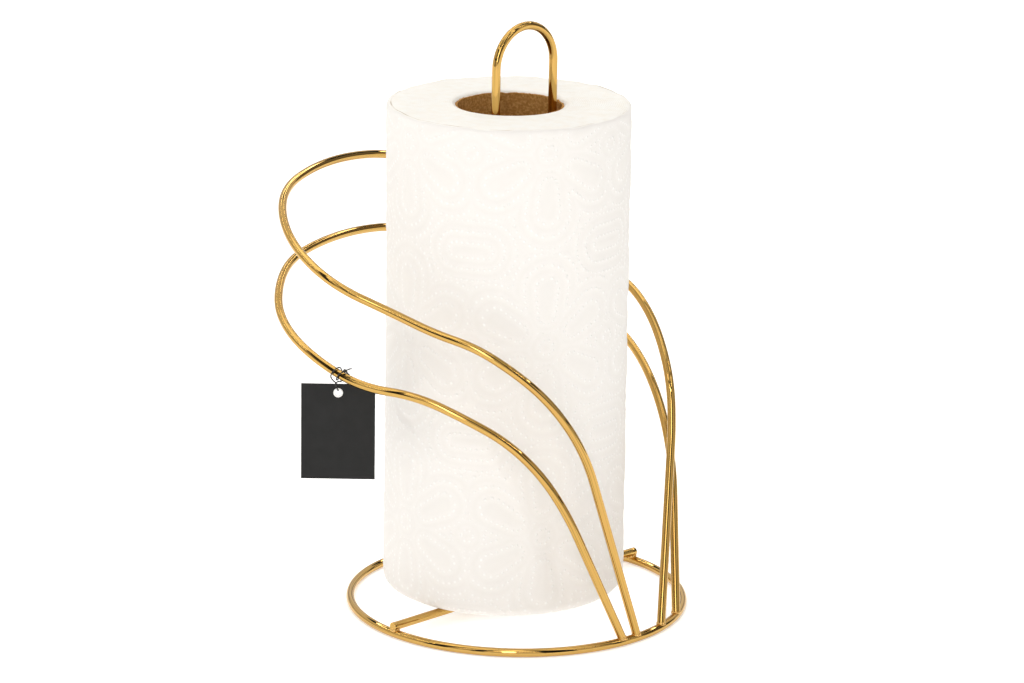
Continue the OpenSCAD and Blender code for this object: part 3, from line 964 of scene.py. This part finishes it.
class HOLDER_OT_studio(bpy.types.Operator):
    """Sets up the camera, the white room, the soft light and the floor"""

    bl_idname = "towel_holder.studio"
    bl_label = "Studio"

    def execute(self, context):
        settings = context.scene.towel_holder.studio
        self.add_camera(context, settings)
        self.add_room(context, settings)
        self.add_soft_light(context, settings)
        self.add_floor(context, settings)
        return {"FINISHED"}

    def add_camera(self, context, settings):
        data = bpy.data.cameras.new("Camera")
        data.lens = settings.lens
        data.sensor_width = 36
        data.clip_end = 50
        camera = bpy.data.objects.new("Camera", data)
        context.scene.collection.objects.link(camera)
        stand = Matrix.Rotation(settings.azimuth, 4, "Z")
        place = Matrix.Translation((0, -settings.distance, settings.height))
        look = Matrix.Rotation(-settings.pan, 4, "Z") @ Matrix.Rotation(
            math.pi / 2 - settings.pitch, 4, "X"
        )
        tilt = Matrix.Rotation(settings.roll, 4, "Z")
        camera.matrix_world = stand @ place @ look @ tilt
        context.scene.camera = camera

    def add_room(self, context, settings):
        """A white room, with dark gaps between its panels that the polished wire mirrors."""
        world = bpy.data.worlds.new("White room")
        context.scene.world = world
        world.use_nodes = True
        tree = world.node_tree
        background = tree.nodes["Background"]
        context.scene.view_settings.view_transform = "Standard"
        place = add_node(tree, "ShaderNodeTexCoord")
        axes = add_node(tree, "ShaderNodeSeparateXYZ", place.outputs["Generated"])
        # Level bands from the horizon to the ceiling, by the sine of their height
        bands = [
            (0.0, 0.95), (0.2, 0.95), (0.21, 0.02), (0.26, 0.02), (0.27, 0.9), (0.54, 0.9),
            (0.55, 0.01), (0.62, 0.01), (0.625, 11.0), (0.638, 11.0), (0.645, 0.01), (0.69, 0.01),
            (0.7, 0.95), (0.86, 0.95), (0.87, 2.0), (1.0, 2.0),
        ]
        height = self.add_bands(tree, axes.outputs[2], bands)
        heading = add_node(
            tree, "ShaderNodeMath", axes.outputs[1], axes.outputs[0], operation="ARCTAN2"
        )
        turn = add_node(
            tree, "ShaderNodeMapRange", heading, -math.pi, math.pi, 0.0, 1.0
        )
        # Upright gaps, as shares of a turn that starts at the -X axis and passes -Y first
        gaps = [
            (0.0, 1.0), (0.2, 1.0), (0.205, 0.05), (0.245, 0.05), (0.25, 1.0), (0.29, 1.0),
            (0.295, 0.05), (0.315, 0.05), (0.32, 1.0), (0.42, 1.0), (0.425, 0.02),
            (0.485, 0.02), (0.49, 1.0), (0.56, 1.0), (0.565, 0.1), (0.585, 0.1), (0.59, 1.0),
            (0.63, 1.0), (0.64, 0.25), (0.73, 0.25), (0.74, 1.0), (1.0, 1.0),
        ]
        sides = self.add_bands(tree, turn, gaps)
        both = add_node(tree, "ShaderNodeVectorMath", height, sides, operation="MULTIPLY")
        set_sockets(tree, background, {"Color": both, "Strength": settings.wall_light})

    def add_bands(self, tree, share, bands):
        """A colour ramp of grey levels: (place from 0 to 1, level)."""
        made = add_node(tree, "ShaderNodeValToRGB", share)
        ramp = made.color_ramp
        for i, (stop, value) in enumerate(bands):
            point = ramp.elements[i] if i < 2 else ramp.elements.new(stop)
            point.position = stop
            point.color = (value, value * 0.99, value * 0.97, 1)
        return made

    def add_soft_light(self, context, settings):
        """A tall narrow lamp beside the camera."""
        data = bpy.data.lights.new("Key", "AREA")
        data.energy = settings.key_light
        data.shape = "RECTANGLE"
        data.size = 0.3
        data.size_y = 1.0
        light = bpy.data.objects.new("Key", data)
        context.scene.collection.objects.link(light)
        light.location = turned((-0.15, -1.85, 0.95), math.degrees(settings.azimuth))
        toward = Vector((0, 0, 0.12)) - light.location
        light.rotation_euler = toward.to_track_quat("-Z", "Y").to_euler()

    def add_floor(self, context, settings):
        bm = bmesh.new()
        bmesh.ops.create_circle(bm, cap_ends=True, segments=96, radius=9)
        mesh = bpy.data.meshes.new("Floor")
        bm.to_mesh(mesh)
        bm.free()
        mesh.materials.append(lit_table(settings.floor))
        floor = bpy.data.objects.new("Floor", mesh)
        context.scene.collection.objects.link(floor)


class HOLDER_OT_tag_thread(bpy.types.Operator):
    """Ties the tag's thread round the lower arm: a two-ply thread and its knot"""

    bl_idname = "towel_holder.tag_thread"
    bl_label = "Tag thread"

    def execute(self, context):
        settings = context.scene.towel_holder.tag
        cotton = twisted_cotton(settings.thread)
        knot = self.make_knot(context, settings, cotton)
        route = [in_tag_frame(p) for p in THREAD_ROUTE]
        thread = self.make_thread(route, settings, cotton)
        return {"FINISHED"}

    def make_thread(self, route, settings, cotton):
        """Two plies that twist round each other once in 2.4 mm."""
        sides, twist_run = 12, 2.4
        bm = new_wire_mesh()
        dirs = smooth_directions(route)
        ring = start_wire(bm, route[0], dirs[0], settings.thread_d / 2, sides)
        start = verts_of(ring)
        for v in start:
            offset = v.co - route[0]
            waist = 0.8 + 0.2 * math.cos(4 * math.pi * v[bm.verts.layers.int["side"]] / sides)
            v.co = route[0] + offset * waist
        close_end(bm, ring, 0)
        run = bm.verts.layers.float["run"]
        pieces = 5
        for i in range(len(route) - 1):
            for part in range(pieces):
                here = on_curve(route, dirs, i, part / pieces)
                there = on_curve(route, dirs, i, (part + 1) / pieces)
                heading = curve_direction(route, dirs, i, part / pieces)
                next_heading = curve_direction(route, dirs, i, (part + 1) / pieces)
                length = (there - here).length
                reached = ring[0].verts[0][run] + length
                fresh, ring = extrude_ring(bm, ring)
                swing = heading.rotation_difference(next_heading).to_matrix().to_4x4()
                twist = Matrix.Rotation(math.tau * length / twist_run, 4, next_heading)
                move = Matrix.Translation(there) @ twist @ swing @ Matrix.Translation(-here)
                bmesh.ops.transform(bm, matrix=move, verts=fresh)
                for v in fresh:
                    v[run] = reached
        close_end(bm, ring, 0)
        finish_wire(bm, sides, settings.thread_d)
        return new_piece("thread", bm, [cotton], "tag", ["tag_thread"])

    def make_knot(self, context, settings, cotton):
        """An overhand knot pulled tight, as one closed loop of thread."""
        bm = bmesh.new()
        curve = bpy.data.curves.new("knot_line", "CURVE")
        curve.dimensions = "3D"
        curve.bevel_depth = settings.thread_d / 2 * 0.95
        curve.bevel_resolution = 3
        line = curve.splines.new("POLY")
        count = 72
        size = 0.21
        line.points.add(count - 1)
        for i, point in enumerate(line.points):
            t = math.tau * i / count
            loop = Vector((
                math.sin(t) + 2 * math.sin(2 * t),
                math.cos(t) - 2 * math.cos(2 * t),
                -1.3 * math.sin(3 * t),
            ))
            point.co = (*(loop * size), 1)
        line.use_cyclic_u = True
        drawn = bpy.data.objects.new("knot_line", curve)
        bm.from_mesh(drawn.to_mesh())
        drawn.to_mesh_clear()
        bpy.data.objects.remove(drawn)
        bpy.data.curves.remove(curve)
        lean = Matrix.Rotation(math.radians(35), 4, "X") @ Matrix.Rotation(0.6, 4, "Z")
        bmesh.ops.transform(bm, matrix=lean, verts=bm.verts)
        place = tag_matrix() @ Matrix.Translation(KNOT_PLACE)
        bmesh.ops.transform(bm, matrix=place, verts=bm.verts)
        bmesh.ops.recalc_face_normals(bm, faces=bm.faces)
        in_metres(bm)
        return new_piece("knot", bm, [cotton], "tag", ["tag_knot"], 80)


class HOLDER_OT_base_ring(bpy.types.Operator):
    """Bends the base ring and closes it with its butt joint"""

    bl_idname = "towel_holder.base_ring"
    bl_label = "Base ring"

    def execute(self, context):
        settings = context.scene.towel_holder.wire
        gold = finish("gold_plated_drawn_steel", gold_plated_steel, settings.gold)
        seam = (SEAM_LOW + SEAM_HIGH) / 2 / MM
        seam_angle = math.degrees(math.atan2(seam.y, seam.x))
        bm = new_wire_mesh()
        start = turned((RING_R, 0, WIRE_D / 2), seam_angle)
        ring = start_wire(bm, start, turned((0, 1, 0), seam_angle), WIRE_D / 2, settings.sides)
        quarter_turn = 90
        for quarter in range(4):
            angle = seam_angle + quarter * quarter_turn
            ring = bend_wire(
                bm, ring, turned((RING_R, 0, WIRE_D / 2), angle), turned((0, 1, 0), angle),
                turned((RING_R, 0, WIRE_D / 2), angle + quarter_turn), settings.step,
            )
        finish_wire(bm, settings.sides, WIRE_D)
        new_piece("ring_wire", bm, [gold], "frame", ["base_ring"])
        self.add_seam(settings, seam_angle)
        return {"FINISHED"}

    def add_seam(self, settings, angle):
        """Two thin lips of weld flash with the dark joint line between them."""
        gold = finish("gold_plated_weld", gold_plated_weld, settings.weld_gold)
        dark = finish("oxidised_joint_line", joint_line)
        lip = [(-0.58, 0.0), (-0.5, 0.1), (-0.4, 0.16), (-0.3, 0.12), (-0.26, 0.03)]
        outline = lip + [(-x, rise) for x, rise in reversed(lip)]
        bm = bmesh.new()
        line = [bm.verts.new((0, x, WIRE_D / 2 - 0.03 + rise)) for x, rise in outline]
        for a, b in zip(line, line[1:]):
            bm.edges.new((a, b))
        bmesh.ops.spin(
            bm, geom=bm.verts[:] + bm.edges[:], cent=(0, 0, 0), axis=(0, 1, 0),
            angle=math.tau, steps=72, use_merge=True, use_duplicate=False,
        )
        for v in bm.verts:
            swell = noise.noise(v.co * 1.1 + Vector((5, 0, 9)))
            v.co.x *= 1 + 0.02 * swell
            v.co.z *= 1 + 0.02 * swell
            v.co.y *= 1 + 0.25 * swell
        for face in bm.faces:
            if abs(face.calc_center_median().y) < 0.1:
                face.material_index = 1
        place = Matrix.Rotation(math.radians(angle), 4, "Z") @ Matrix.Translation(
            (RING_R, 0, WIRE_D / 2)
        )
        bmesh.ops.transform(bm, matrix=place, verts=bm.verts)
        bmesh.ops.recalc_face_normals(bm, faces=bm.faces)
        in_metres(bm)
        new_piece("ring_seam", bm, [gold, dark], "frame", ["ring_seam_weld"], 60)


class HOLDER_OT_crossbar(bpy.types.Operator):
    """Lays the crossbar over the ring"""

    bl_idname = "towel_holder.crossbar"
    bl_label = "Crossbar"

    def execute(self, context):
        settings = context.scene.towel_holder.wire
        gold = finish("gold_plated_drawn_steel", gold_plated_steel, settings.gold)
        bm = new_wire_mesh()
        start = Vector((0, -BAR_HALF, BAR_Z))
        length = Vector((0, 2 * BAR_HALF, 0))
        ring = start_wire(bm, start, Vector((0, 1, 0)), WIRE_D / 2, settings.sides)
        first = list(ring)
        ring = run_straight(bm, ring, length, 48)
        close_end(bm, first, 0.15)
        close_end(bm, ring, 0.15)
        # The shears that cropped the bar left its end faces a little uneven
        for v in bm.verts:
            if abs(abs(v.co.y) - BAR_HALF) < 0.01:
                v.co.y -= math.copysign(0.12 * abs(noise.noise(v.co * 0.9)), v.co.y)
        finish_wire(bm, settings.sides, WIRE_D)
        new_piece("crossbar_wire", bm, [gold], "frame", ["crossbar"])
        return {"FINISHED"}


class HOLDER_OT_post_loop(bpy.types.Operator):
    """Bends the upright loop that the core drops over"""

    bl_idname = "towel_holder.post_loop"
    bl_label = "Post loop"

    def execute(self, context):
        settings = context.scene.towel_holder.wire
        gold = finish("gold_plated_drawn_steel", gold_plated_steel, settings.gold)
        bm = new_wire_mesh()
        up = Vector((0, 0, 1))
        foot = Vector((0, -LEG_Y, POST_BOTTOM))
        shoulder = Vector((0, -LEG_Y, ARCH_Z))
        crown = Vector((0, 0, ARCH_Z + LEG_Y))
        ring = start_wire(bm, foot, up, WIRE_D / 2, settings.sides)
        first = list(ring)
        ring = run_straight(bm, ring, shoulder - foot, 60)
        ring = bend_wire(bm, ring, shoulder, up, crown, settings.step / 2)
        far_shoulder = Vector((0, LEG_Y, ARCH_Z))
        ring = bend_wire(bm, ring, crown, Vector((0, 1, 0)), far_shoulder, settings.step / 2)
        ring = run_straight(bm, ring, foot - shoulder, 60)
        close_end(bm, first, 0)
        close_end(bm, ring, 0)
        finish_wire(bm, settings.sides, WIRE_D)
        new_piece("post_wire", bm, [gold], "frame", ["post_loop"])
        return {"FINISHED"}


class HOLDER_OT_guard_arms(bpy.types.Operator):
    """Bends the two guard arms that reach round the roll"""

    bl_idname = "towel_holder.guard_arms"
    bl_label = "Guard arms"

    def execute(self, context):
        settings = context.scene.towel_holder.wire
        gold = finish("gold_plated_drawn_steel", gold_plated_steel, settings.gold)
        for name, arm in (("upper_arm", UPPER_ARM), ("lower_arm", LOWER_ARM)):
            bm = make_arm(arm, settings)
            new_piece(name + "_wire", bm, [gold], "frame", [name])
        return {"FINISHED"}


class HOLDER_OT_welds(bpy.types.Operator):
    """Adds the weld nuggets: a lumpy seat under each wire and a few frozen beads beside it"""

    bl_idname = "towel_holder.welds"
    bl_label = "Weld nuggets"

    def execute(self, context):
        settings = context.scene.towel_holder.wire
        gold = finish("gold_plated_weld", gold_plated_weld, settings.weld_gold)
        heights = {"crossbar": 0.62, "post": 0.5, "upper_arm": 0.5, "lower_arm": 0.5}
        welds = {
            f"{wire}_{end}_weld": height
            for wire, height in heights.items() for end in ("front", "back")
        }
        for seed, (node, height) in enumerate(welds.items()):
            low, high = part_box(node)
            middle = (low + high) / 2 / MM
            radius = (high.x - low.x) / MM / 2
            dice = random.Random(seed + 11)
            bm = bmesh.new()
            weld_bead(bm, middle, radius * 0.93, (1, 1, height), seed)
            for _ in range(14):
                angle = dice.uniform(0, math.tau)
                reach = radius * dice.uniform(0.72, 0.86)
                drop = dice.uniform(-0.3, 0.35) * radius
                place = middle + Vector((math.cos(angle) * reach, math.sin(angle) * reach, drop))
                size = dice.uniform(0.26, 0.52)
                weld_bead(bm, place, size, (1, 1, dice.uniform(0.7, 1)), seed + size)
            in_metres(bm)
            piece = node.replace("_weld", "_nugget")
            new_piece(piece, bm, [gold], "frame", [node], 80)
        return {"FINISHED"}


class HOLDER_OT_roll_core(bpy.types.Operator):
    """Winds the board core, with its sawn and frayed ends"""

    bl_idname = "towel_holder.roll_core"
    bl_label = "Roll core"

    def execute(self, context):
        settings = context.scene.towel_holder.roll
        board = spiral_wound_board(settings.board)
        bm = bmesh.new()
        inner = CORE_R - CORE_WALL
        corners = [(inner, 0), (CORE_R, 0), (CORE_R, CORE_H), (inner, CORE_H)]
        line = [bm.verts.new((r, 0, z)) for r, z in corners]
        sides = [bm.edges.new((line[i], line[(i + 1) % 4])) for i in range(4)]
        bmesh.ops.subdivide_edges(bm, edges=[sides[1], sides[3]], cuts=60)
        bmesh.ops.subdivide_edges(bm, edges=[sides[0], sides[2]], cuts=3)
        bmesh.ops.spin(
            bm, geom=bm.verts[:] + bm.edges[:], cent=(0, 0, 0), axis=(0, 0, 1),
            angle=math.tau, steps=180, use_merge=True, use_duplicate=False,
        )
        for v in bm.verts:
            self.fray(v, inner)
        bmesh.ops.translate(bm, vec=(ROLL_X, 0, CORE_LOW.z / MM), verts=bm.verts)
        bmesh.ops.recalc_face_normals(bm, faces=bm.faces)
        in_metres(bm)
        new_piece("core_tube", bm, [board], "core", ["roll_core"], 60)
        return {"FINISHED"}

    def fray(self, v, inner):
        """Roughens the core's top end, in and down only, and leaves the wall near it a little out
        of round.
        """
        near_top = max(0, 1 - (CORE_H - v.co.z) / 6)
        rough = noise.fractal(v.co * 0.7, 0.8, 2.0, 3)
        chip = max(0, noise.noise(v.co * 0.25 + Vector((3, 7, 1))))
        if v.co.z > CORE_H - 0.01:
            v.co.z -= 0.35 * abs(rough) + 0.9 * chip
        pull = 0.22 * near_top * abs(rough)
        radius = math.hypot(v.co.x, v.co.y)
        shrink = (radius - pull) / radius
        v.co.x *= shrink
        v.co.y *= shrink


class HOLDER_OT_paper_roll(bpy.types.Operator):
    """Winds the embossed paper, with its quilting, its folds and its ragged edges"""

    bl_idname = "towel_holder.paper_roll"
    bl_label = "Paper roll"

    bottom_round: FloatProperty(
        name="Bottom rounding", description="Rounding of the lower edge, in mm", default=5
    )
    top_round: FloatProperty(
        name="Top rounding", description="Rounding of the upper edge, in mm", default=1.5
    )

    def execute(self, context):
        settings = context.scene.towel_holder.roll
        mesh = self.wind(settings)
        self.emboss(mesh, settings)
        piece = bpy.data.objects.new("wound_paper", mesh)
        context.scene.collection.objects.link(piece)
        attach(piece, "paper")
        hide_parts("paper_roll")
        return {"FINISHED"}

    def wind(self, settings):
        """Spins the roll's outline about its own axis."""
        bm = bmesh.new()
        inner = CORE_R + CORE_GAP
        corners = [(inner, 0), (ROLL_R, 0), (ROLL_R, ROLL_H), (inner, ROLL_H)]
        line = [bm.verts.new((r, 0, z)) for r, z in corners]
        base, side, top, bore = [
            bm.edges.new((line[i], line[(i + 1) % 4])) for i in range(4)
        ]
        bmesh.ops.subdivide_edges(bm, edges=[base], cuts=5)
        bmesh.ops.subdivide_edges(bm, edges=[top], cuts=15)
        bmesh.ops.subdivide_edges(bm, edges=[bore], cuts=5)
        for height, rounding, segments in (
            (0, self.bottom_round, 6), (ROLL_H, self.top_round, 4)
        ):
            corner = Vector((ROLL_R, 0, height))
            bmesh.ops.bevel(
                bm, geom=[v for v in bm.verts if (v.co - corner).length < 0.01],
                offset=rounding, segments=segments, profile=0.5, affect="VERTICES",
                material=-1,
            )
        tall = [e for e in bm.edges if e.calc_length() > ROLL_H / 2]
        bmesh.ops.subdivide_edges(bm, edges=tall, cuts=settings.up - 1)
        bmesh.ops.spin(
            bm, geom=bm.verts[:] + bm.edges[:], cent=(0, 0, 0), axis=(0, 0, 1),
            angle=math.tau, steps=settings.around, use_merge=True, use_duplicate=False,
        )
        bmesh.ops.recalc_face_normals(bm, faces=bm.faces)
        for face in bm.faces:
            middle = face.calc_center_median()
            flat = abs(face.normal.z) > 0.9
            face.material_index = 1 if flat or math.hypot(middle.x, middle.y) < inner + 1 else 0
        mesh = bpy.data.meshes.new("wound_paper")
        bm.to_mesh(mesh)
        bm.free()
        mesh.shade_smooth()
        mesh.materials.append(embossed_tissue(settings))
        mesh.materials.append(cut_tissue(settings))
        return mesh

    def emboss(self, mesh, settings):
        """Maps the motifs onto the side and moves its points for quilting, folds and edges."""
        count = len(mesh.vertices)
        places = np.empty(count * 3)
        mesh.vertices.foreach_get("co", places)
        places = places.reshape(-1, 3)
        radius = np.hypot(places[:, 0], places[:, 1])
        angle = np.arctan2(places[:, 1], places[:, 0])
        s, z = angle * ROLL_R, places[:, 2]
        motifs = flower_motifs(settings, seam=math.radians(-26) * ROLL_R)
        chosen, outside, lead = two_nearest(motifs, s, z)
        self.map_motifs(mesh, motifs, s, z, chosen, lead, radius)

        side = smooth_between(ROLL_R - 4, ROLL_R - 0.5, radius)
        edge = np.minimum(z, ROLL_H - z)
        rings = np.maximum(np.round(outside / settings.ring_pitch), 0)
        off_line = outside - rings * settings.ring_pitch
        near_border = smooth_between(0.3, 2.2, lead)
        ridge = 0.2 * np.exp(-((off_line / 0.9) ** 2)) * near_border
        pillow = 0.45 * np.clip(-outside / 4.5, 0, 1) ** 0.7
        outward = side * smooth_between(0, 4, edge) * (ridge + pillow)
        outward += side * self.folds(s, z)
        outward += side * wavy(s, z, [
            (2, 3.1, 0.4, 0.22), (3, -4.2, 2.1, 0.16), (5, 2.3, 4.0, 0.12), (7, 6.5, 1.2, 0.08),
        ])
        ragged = -0.25 + wavy(s, z * 0, [(9, 0, 0.2, 0.18), (17, 0, 1.9, 0.14), (31, 0, 4.4, 0.1)])
        upward = smooth_between(ROLL_H - 3, ROLL_H, z) * ragged * side
        upward -= (1 - smooth_between(0, 3, z)) * np.minimum(ragged, 0) * side
        # The innermost layers sink a little towards the core
        bore = 1 - smooth_between(CORE_R, CORE_R + 2.5, radius)
        upward -= 0.9 * bore * smooth_between(ROLL_H - 3, ROLL_H, z)
        unit_x, unit_y = places[:, 0] / radius, places[:, 1] / radius
        outward = np.minimum(outward, 0.9)
        places[:, 0] += unit_x * outward + ROLL_X
        places[:, 1] += unit_y * outward
        places[:, 2] += upward + ROLL_Z
        mesh.vertices.foreach_set("co", (places * MM).ravel())
        mesh.update()

    def folds(self, s, z):
        """The outer sheet's slack: soft folds that run down to the foot on the arms' side."""
        unit = math.radians(1) * ROLL_R
        routes = [
            ([(-26 * unit, 16), (-35 * unit, 50), (-52 * unit, 84)], 4.5, 0.85),
            ([(-3 * unit, 16), (-12 * unit, 56), (-20 * unit, 96)], 4.5, 0.9),
            ([(-15 * unit, 12), (-23 * unit, 52), (-36 * unit, 104)], 5.0, -1.1),
        ]
        return sum(soft_fold(s, z, route, width, height) for route, width, height in routes)

    def map_motifs(self, mesh, motifs, s, z, chosen, lead, radius):
        """Gives each face the map of one motif, and each point how clearly its dots show."""
        corners = np.empty(len(mesh.loops), int)
        mesh.loops.foreach_get("vertex_index", corners)
        starts = np.empty(len(mesh.polygons), int)
        mesh.polygons.foreach_get("loop_start", starts)
        totals = np.empty(len(mesh.polygons), int)
        mesh.polygons.foreach_get("loop_total", totals)
        of_face = np.repeat(chosen[corners[starts]], totals)
        x, y = in_motif(motifs, of_face, s[corners], z[corners])
        unwrap = mesh.uv_layers.new(name="motif")
        unwrap.data.foreach_set("uv", np.stack([x, y], axis=1).astype(np.float32).ravel())
        form = mesh.attributes.new("motif_form", "FLOAT_VECTOR", "CORNER")
        form.data.foreach_set("vector", motifs[of_face][:, 3:6].astype(np.float32).ravel())
        edge = np.minimum(z, ROLL_H - z)
        show = smooth_between(0.5, 1.6, lead) * smooth_between(0.5, 2.5, edge)
        show = show * smooth_between(ROLL_R - 4, ROLL_R - 1, radius)
        clear = mesh.attributes.new("motif_show", "FLOAT", "POINT")
        clear.data.foreach_set("value", show.astype(np.float32))


class HOLDER_OT_hang_tag(bpy.types.Operator):
    """Cuts the hang tag's card and sets the eyelet in it"""

    bl_idname = "towel_holder.hang_tag"
    bl_label = "Hang tag"

    def execute(self, context):
        settings = context.scene.towel_holder.tag
        self.cut_card(settings)
        self.set_eyelet(settings)
        return {"FINISHED"}

    def cut_card(self, settings):
        """A sheet with a punched hole, given its thickness."""
        paper = dyed_card(settings.card)
        bm = bmesh.new()
        bmesh.ops.create_circle(
            bm, cap_ends=False, segments=48, radius=CARD_HOLE_R,
            matrix=Matrix.Translation((0, 0, EYELET_Z)) @ Matrix.Rotation(math.pi / 2, 4, "X"),
        )
        hole = bm.edges[:]
        top = CARD_HIGH.z / MM - hang_point().z
        bottom = CARD_LOW.z / MM - hang_point().z
        half = (CARD_HIGH - CARD_LOW).xy.length / MM / 2 - CARD_T / 2
        corners = [(-half, top), (half, top), (half, bottom), (-half, bottom)]
        line = [bm.verts.new((x, 0, z)) for x, z in corners]
        sides = [bm.edges.new((line[i], line[(i + 1) % 4])) for i in range(4)]
        bmesh.ops.subdivide_edges(bm, edges=sides, cuts=11)
        outer = [e for e in bm.edges if e not in hole]
        bmesh.ops.triangle_fill(bm, use_beauty=True, edges=hole + outer)
        bmesh.ops.subdivide_edges(
            bm, edges=[e for e in bm.edges if e.calc_length() > 3], cuts=2, use_grid_fill=True
        )
        bmesh.ops.recalc_face_normals(bm, faces=bm.faces)
        bmesh.ops.solidify(bm, geom=bm.faces[:], thickness=CARD_T)
        middle = sum(v.co.y for v in bm.verts) / len(bm.verts)
        for v in bm.verts:
            v.co.y -= middle
        bmesh.ops.recalc_face_normals(bm, faces=bm.faces)
        bmesh.ops.transform(bm, matrix=tag_matrix(), verts=bm.verts)
        in_metres(bm)
        new_piece("card", bm, [paper], "tag", ["tag_card"], 30)

    def set_eyelet(self, settings):
        """A rolled eyelet: a thin barrel with a rounded flange on each face."""
        enamel = enamelled_brass(settings.eyelet)
        half_card, inner, barrel, flange, lip = CARD_T / 2, 1.4, CARD_HOLE_R, 2.2, 0.25
        outline = [
            (barrel, -half_card), (flange, -half_card), (flange, -half_card - lip * 0.6),
            (flange - 0.2, -half_card - lip), (barrel - 0.1, -half_card - lip),
            (inner, -half_card - lip * 0.4),
        ]
        outline += [(r, -y) for r, y in reversed(outline)]
        bm = bmesh.new()
        line = [bm.verts.new((r, y, 0)) for r, y in outline]
        for i, v in enumerate(line):
            bm.edges.new((v, line[(i + 1) % len(line)]))
        bmesh.ops.bevel(
            bm, geom=bm.verts[:], offset=0.07, segments=2, profile=0.5, affect="VERTICES",
            material=-1,
        )
        bmesh.ops.spin(
            bm, geom=bm.verts[:] + bm.edges[:], cent=(0, 0, 0), axis=(0, 1, 0),
            angle=math.tau, steps=64, use_merge=True, use_duplicate=False,
        )
        place = tag_matrix() @ Matrix.Translation((0, 0, EYELET_Z))
        bmesh.ops.transform(bm, matrix=place, verts=bm.verts)
        bmesh.ops.recalc_face_normals(bm, faces=bm.faces)
        in_metres(bm)
        new_piece("eyelet", bm, [enamel], "tag", ["tag_eyelet"], 50)


# ---------------------------------------------------------------- the tag's frame and thread


def hang_point():
    """Where the thread goes round the lower arm."""
    return arm_route(LOWER_ARM, -1, LOWER_ARM["front_foot"])[HANG_BEND]


def tag_matrix():
    """The tag's own frame, in millimetres."""
    turn = Matrix.Rotation(math.radians(CARD_TURN), 4, "Z")
    return Matrix.Translation(hang_point()) @ turn


def in_tag_frame(point):
    return tag_matrix() @ Vector(point)


def smooth_directions(route):
    """The direction at each point of a loose route."""
    dirs = []
    for i in range(len(route)):
        before, after = route[max(i - 1, 0)], route[min(i + 1, len(route) - 1)]
        dirs.append((after - before).normalized())
    return dirs


def on_curve(route, dirs, i, t):
    """A point on the smooth curve between two points of a loose route."""
    a, b = route[i], route[i + 1]
    pull = (b - a).length
    h = (2 * t**3 - 3 * t**2 + 1, t**3 - 2 * t**2 + t, 3 * t**2 - 2 * t**3, t**3 - t**2)
    return h[0] * a + h[1] * pull * dirs[i] + h[2] * b + h[3] * pull * dirs[i + 1]


def curve_direction(route, dirs, i, t):
    """The heading of the smooth curve between two points of a loose route."""
    step = 0.01
    if t < step:
        return dirs[i].copy()
    if t > 1 - step:
        return dirs[i + 1].copy()
    ahead = on_curve(route, dirs, i, t + step)
    return (ahead - on_curve(route, dirs, i, t - step)).normalized()


# ---------------------------------------------------------------- panel and registration

STEPS = [
    HOLDER_OT_studio,
    HOLDER_OT_tag_thread,
    HOLDER_OT_base_ring,
    HOLDER_OT_crossbar,
    HOLDER_OT_post_loop,
    HOLDER_OT_guard_arms,
    HOLDER_OT_welds,
    HOLDER_OT_roll_core,
    HOLDER_OT_paper_roll,
    HOLDER_OT_hang_tag,
]


class HOLDER_PT_panel(bpy.types.Panel):
    """The steps that build the towel holder, in their order"""

    bl_label = "Towel holder"
    bl_idname = "HOLDER_PT_panel"
    bl_space_type = "VIEW_3D"
    bl_region_type = "UI"
    bl_category = "Towel holder"

    def draw(self, context):
        column = self.layout.column()
        for step in STEPS:
            column.operator(step.bl_idname)
        settings = context.scene.towel_holder
        for group in (settings.wire, settings.roll, settings.tag, settings.studio):
            box = self.layout.box()
            for name in group.bl_rna.properties.keys():
                if name not in ("rna_type", "name"):
                    box.prop(group, name)


CLASSES = [
    WireSettings, RollSettings, TagSettings, StudioSettings, HolderSettings,
    *STEPS, HOLDER_PT_panel,
]


def register():
    for cls in CLASSES:
        bpy.utils.register_class(cls)
    bpy.types.Scene.towel_holder = PointerProperty(type=HolderSettings)


def unregister():
    del bpy.types.Scene.towel_holder
    for cls in reversed(CLASSES):
        bpy.utils.unregister_class(cls)


def main():
    """Builds everything."""
    register()
    for step in STEPS:
        group, call = step.bl_idname.split(".")
        getattr(getattr(bpy.ops, group), call)()


if __name__ == "__main__":
    main()
